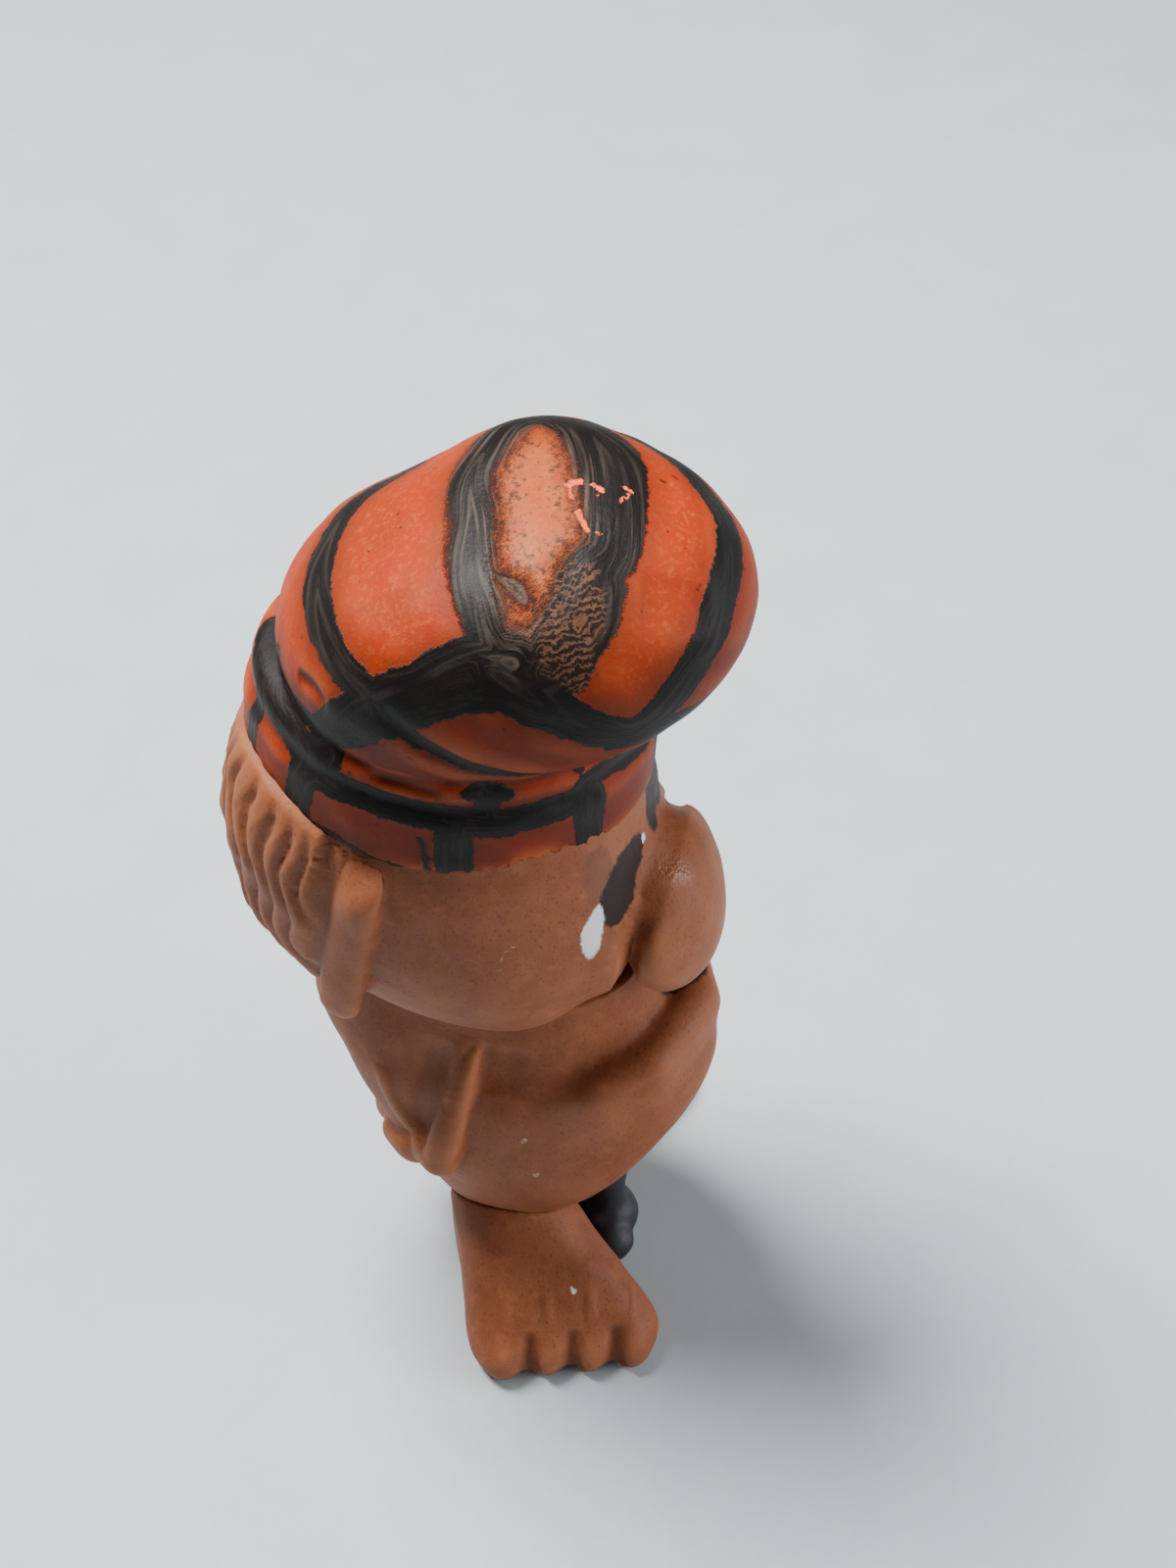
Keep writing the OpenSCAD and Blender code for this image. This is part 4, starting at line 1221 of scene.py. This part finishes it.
@dataclass
class Foot(Moulding):
    """Bare foot with stubby toes."""

    node: str = "right_foot"
    body: str = "figure"
    slot: str = "skin_vinyl"
    voxel: float = 0.25
    side: int = -1              # -1 on the figure's right
    turn: float = 72            # degrees that the toes point outward
    ankle: float = 8            # mm from the middle of the figure to the ankle
    back: float = 0             # mm that the ankle stands further back than the right one
    toe_mid: float = 3.4
    toe_pitch: float = 3.72
    sole_z: float = 0.6
    # a tiny white speck on the right foot, a painted glint
    strokes: tuple[Stroke, ...] | None = (
        spot(Layer.WHITE, (-14.3, -8.2, 7.5, 0.2), (-13.9, -7.9, 7.5, 0.3)),)

    def at(self, x: float, y: float, z: float, width: float) -> tuple[float, float, float, float]:
        """Stop of a stroke given in the foot's own frame, heel to toes along -Y."""
        a = math.radians(self.turn)
        across = x * math.cos(a) + y * math.sin(a) - self.ankle
        along = y * math.cos(a) - x * math.sin(a) + self.back - 2
        return -self.side * across, along, z, width

    def toes(self) -> tuple[Press, ...]:
        """Clefts between the toes and a knuckle on each."""
        gaps, toes = ([self.toe_mid + step * self.toe_pitch for step in steps]
                      for steps in ((-1, 0, 1), (-1.5, -0.5, 0.5, 1.5)))
        clefts = (fold(-0.7, 0.55, self.at(x, -11.9, -1, 0.3), self.at(x, -11.8, 2.2, 0.3),
                       self.at(x, -10.9, 4.1, 0.2), self.at(x, -9.8, 4.9, 0.1)) for x in gaps)
        knuckles = (fold(0.12, 1.0, self.at(x - 0.5, -7.8, 5.6, 1), self.at(x + 0.5, -7.8, 5.6, 1))
                    for x in toes)
        return (*clefts, *knuckles)

    def sculpt(self, piece: Piece) -> None:
        """Soften all above the sole, fill the toes out and part them."""
        x, y, z = self.points(piece).T
        self.soften(piece, 5, z > self.sole_z)
        tip = ease(np.hypot(x - self.side * self.ankle, y + 2 - self.back), 6, 10)
        for least in (0.2, 0.5, 0.8):
            self.soften(piece, 6, (z > self.sole_z) & (tip > least))
        low = self.points(piece)[:, 2] < 0.5
        self.put(piece, self.lifted(piece, 0.3 * np.where(low, 0, tip)))
        self.press(piece, self.toes(), ~low)
        z = self.points(piece)[:, 2]
        moved = self.lifted(piece, self.uneven(piece, 41, (0.06, 4), (0.03, 1.5)))
        moved[:, 2] = np.where(z < 0.1, z, np.maximum(moved[:, 2], 0))
        self.put(piece, moved)


@dataclass
class Elbow(Moulding):
    """Black rubber elbow of the air line, a little lumpy."""

    node: str = "air_inlet"
    body: str = "figure"
    slot: str = "black_rubber"
    voxel: float = 0.22
    inside: float = 9           # mm, the stem above it is in the body

    def sculpt(self, piece: Piece) -> None:
        """Soften and ripple what shows, and leave the stem to its fit in the body."""
        z = self.points(piece)[:, 2]
        self.soften(piece, 6, (z < self.inside) & (z > 0.4))
        z = self.points(piece)[:, 2]
        fade = ease(z, 0.2, 1.5) * (1 - ease(z, self.inside - 1, self.inside))
        self.put(piece, self.lifted(piece, fade * (self.uneven(piece, 51, (0.07, 2.6), (0.03, 1.0)) - 0.15)))


@dataclass
class InnerFittings:
    """Neck joint, air tube, diffuser stone and weight, which keep the shapes of their solids."""

    def dress(self) -> None:
        """Give each kept solid its finish."""
        finishes = {
            "neck_bush": Grainy("#c9b79a", "#b8a686", 0.4, 0.45).material("nylon_bush"),
            "neck_plug": Grainy("#9a5f41", "#824a30", 0.4, 0.5).material("neck_vinyl"),
            "air_tube": Grainy("#cfd4c6", "#b9c0ae", 0.6, 0.2, 0.02, ior=1.45,
                               transmission=0.6).material("clear_pvc_tube"),
            "diffuser": Grainy("#b9b4a6", "#8f897b", 0.35, 0.85, 0.25).material("sintered_stone"),
            "ballast": Grainy("#8d9196", "#7a7e84", 0.25, 0.35, 0.03, 1.0).material("steel"),
        }
        for node, material in finishes.items():
            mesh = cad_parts[node].data
            mesh.materials.clear()
            mesh.materials.append(material)
            log.info("%s: dressed", node)


# ---------------------------------------------------------------- studio

@dataclass(frozen=True)
class Lamp:
    """Soft round light."""

    name: str
    place: tuple[float, float, float]       # mm
    size: float                             # m
    watts: float
    colour: str
    aim: tuple[float, float, float] = (0, 0, 50)

    def hang(self) -> None:
        """Put the light up, turned to the middle of the figure."""
        data = bpy.data.lights.new(self.name, "AREA")
        data.shape = "DISK"
        data.size = self.size
        data.energy = self.watts
        data.color = linear(self.colour)[:3]
        lamp = bpy.data.objects.new(self.name, data)
        lamp.location = Vector(self.place) * MM
        way = Vector(self.aim) * MM - lamp.location
        lamp.rotation_euler = way.to_track_quat("-Z", "Y").to_euler()
        bpy.context.scene.collection.objects.link(lamp)


@dataclass
class Studio:
    """Pale sweep, soft light and the camera."""

    azimuth: float = -75
    elevation: float = 45
    roll: float = -3
    distance: float = 165       # mm
    target: tuple[float, float, float] = (0, -8, 56)
    lens: float = 50
    lamps: tuple[Lamp, ...] = (
        Lamp("key", (80, 180, 520), 0.26, 9.0, "#fbfbfa"),
        Lamp("front", (20, -560, 250), 0.4, 4.0, "#f4f8ff"),
    )
    sky: float = 0.1
    sky_colour: str = "#e9eef2"
    floor_half: float = 0.9     # m
    floor_drop: float = 0.2     # mm below the soles

    def camera(self) -> None:
        """Place the camera above the figure's right side."""
        a, e, turn = (math.radians(v) for v in (self.azimuth, self.elevation, self.roll))
        back = Vector((math.sin(a) * math.cos(e), -math.cos(a) * math.cos(e), math.sin(e)))
        right = Vector((math.cos(a), math.sin(a), 0))
        up = back.cross(right)
        across = right * math.cos(turn) + up * math.sin(turn)
        upward = up * math.cos(turn) - right * math.sin(turn)
        data = bpy.data.cameras.new("camera")
        data.lens = self.lens
        data.sensor_width = 36
        data.clip_start = 0.01
        place = (Vector(self.target) + back * self.distance) * MM
        rows = [[across[i], upward[i], back[i], place[i]] for i in range(3)]
        camera = bpy.data.objects.new("camera", data)
        camera.matrix_world = Matrix(rows + [[0, 0, 0, 1]])
        bpy.context.scene.collection.objects.link(camera)
        bpy.context.scene.camera = camera

    def light(self) -> None:
        """Hang the lights under an even sky."""
        for lamp in self.lamps:
            lamp.hang()
        world = bpy.data.worlds.new("studio")
        world.use_nodes = True
        sky = world.node_tree.nodes["Background"]
        sky.inputs["Color"].default_value = linear(self.sky_colour)
        sky.inputs["Strength"].default_value = self.sky
        bpy.context.scene.world = world

    def floor(self) -> None:
        """Lay the pale sweep."""
        sheet = bmesh.new()
        bmesh.ops.create_grid(sheet, x_segments=2, y_segments=2, size=self.floor_half)
        bmesh.ops.translate(sheet, verts=sheet.verts, vec=(0, 0, -self.floor_drop * MM))
        mesh = bpy.data.meshes.new("sweep")
        sheet.to_mesh(mesh)
        sheet.free()
        mesh.materials.append(Grainy("#b9c1c4", "#b4bcc0", 1.2, 0.75, 0.01).material("matt_card"))
        floor = bpy.data.objects.new("sweep", mesh)
        bpy.context.scene.collection.objects.link(floor)


def main() -> None:
    """Build the ornament piece by piece, then the studio round it."""
    logging.basicConfig(level=logging.INFO, format="%(message)s")
    Studio().camera()
    brow = Coat(Layer.BLACK, "#181210", 0.4, 0.2, 0.95)
    # on the face the pale coat lays painted glints
    pale = Coat(Layer.PALE, "#c9b2a0", 0.15, 0.1, 0.7)
    white = Coat(Layer.WHITE, "#d8d3d4", 0.25, 0.12, 0.95)
    smear = Coat(Layer.SMEAR, "#5a3a2c", 0.3, 0.3, 0.5)
    Tam().build(BrushedTam().material("painted_tam_vinyl"))
    Face().build(SoftVinyl(coats=(smear, brow, white, pale)).material("face_vinyl"))
    Torso().build(SoftVinyl(coats=(brow, pale)).material("body_vinyl"))
    # the white coat on the right foot lays a painted glint
    bare = SoftVinyl(coats=(white,)).material("foot_vinyl")
    Foot().build(bare)
    Foot(node="left_foot", side=1, turn=80, back=2, strokes=()).build(bare)
    Elbow().build(Grainy("#1b1a1d", "#262529", 0.5, 0.62, 0.08).material("black_rubber"))
    InnerFittings().dress()
    Studio().light()
    Studio().floor()


if __name__ == "__main__":
    main()
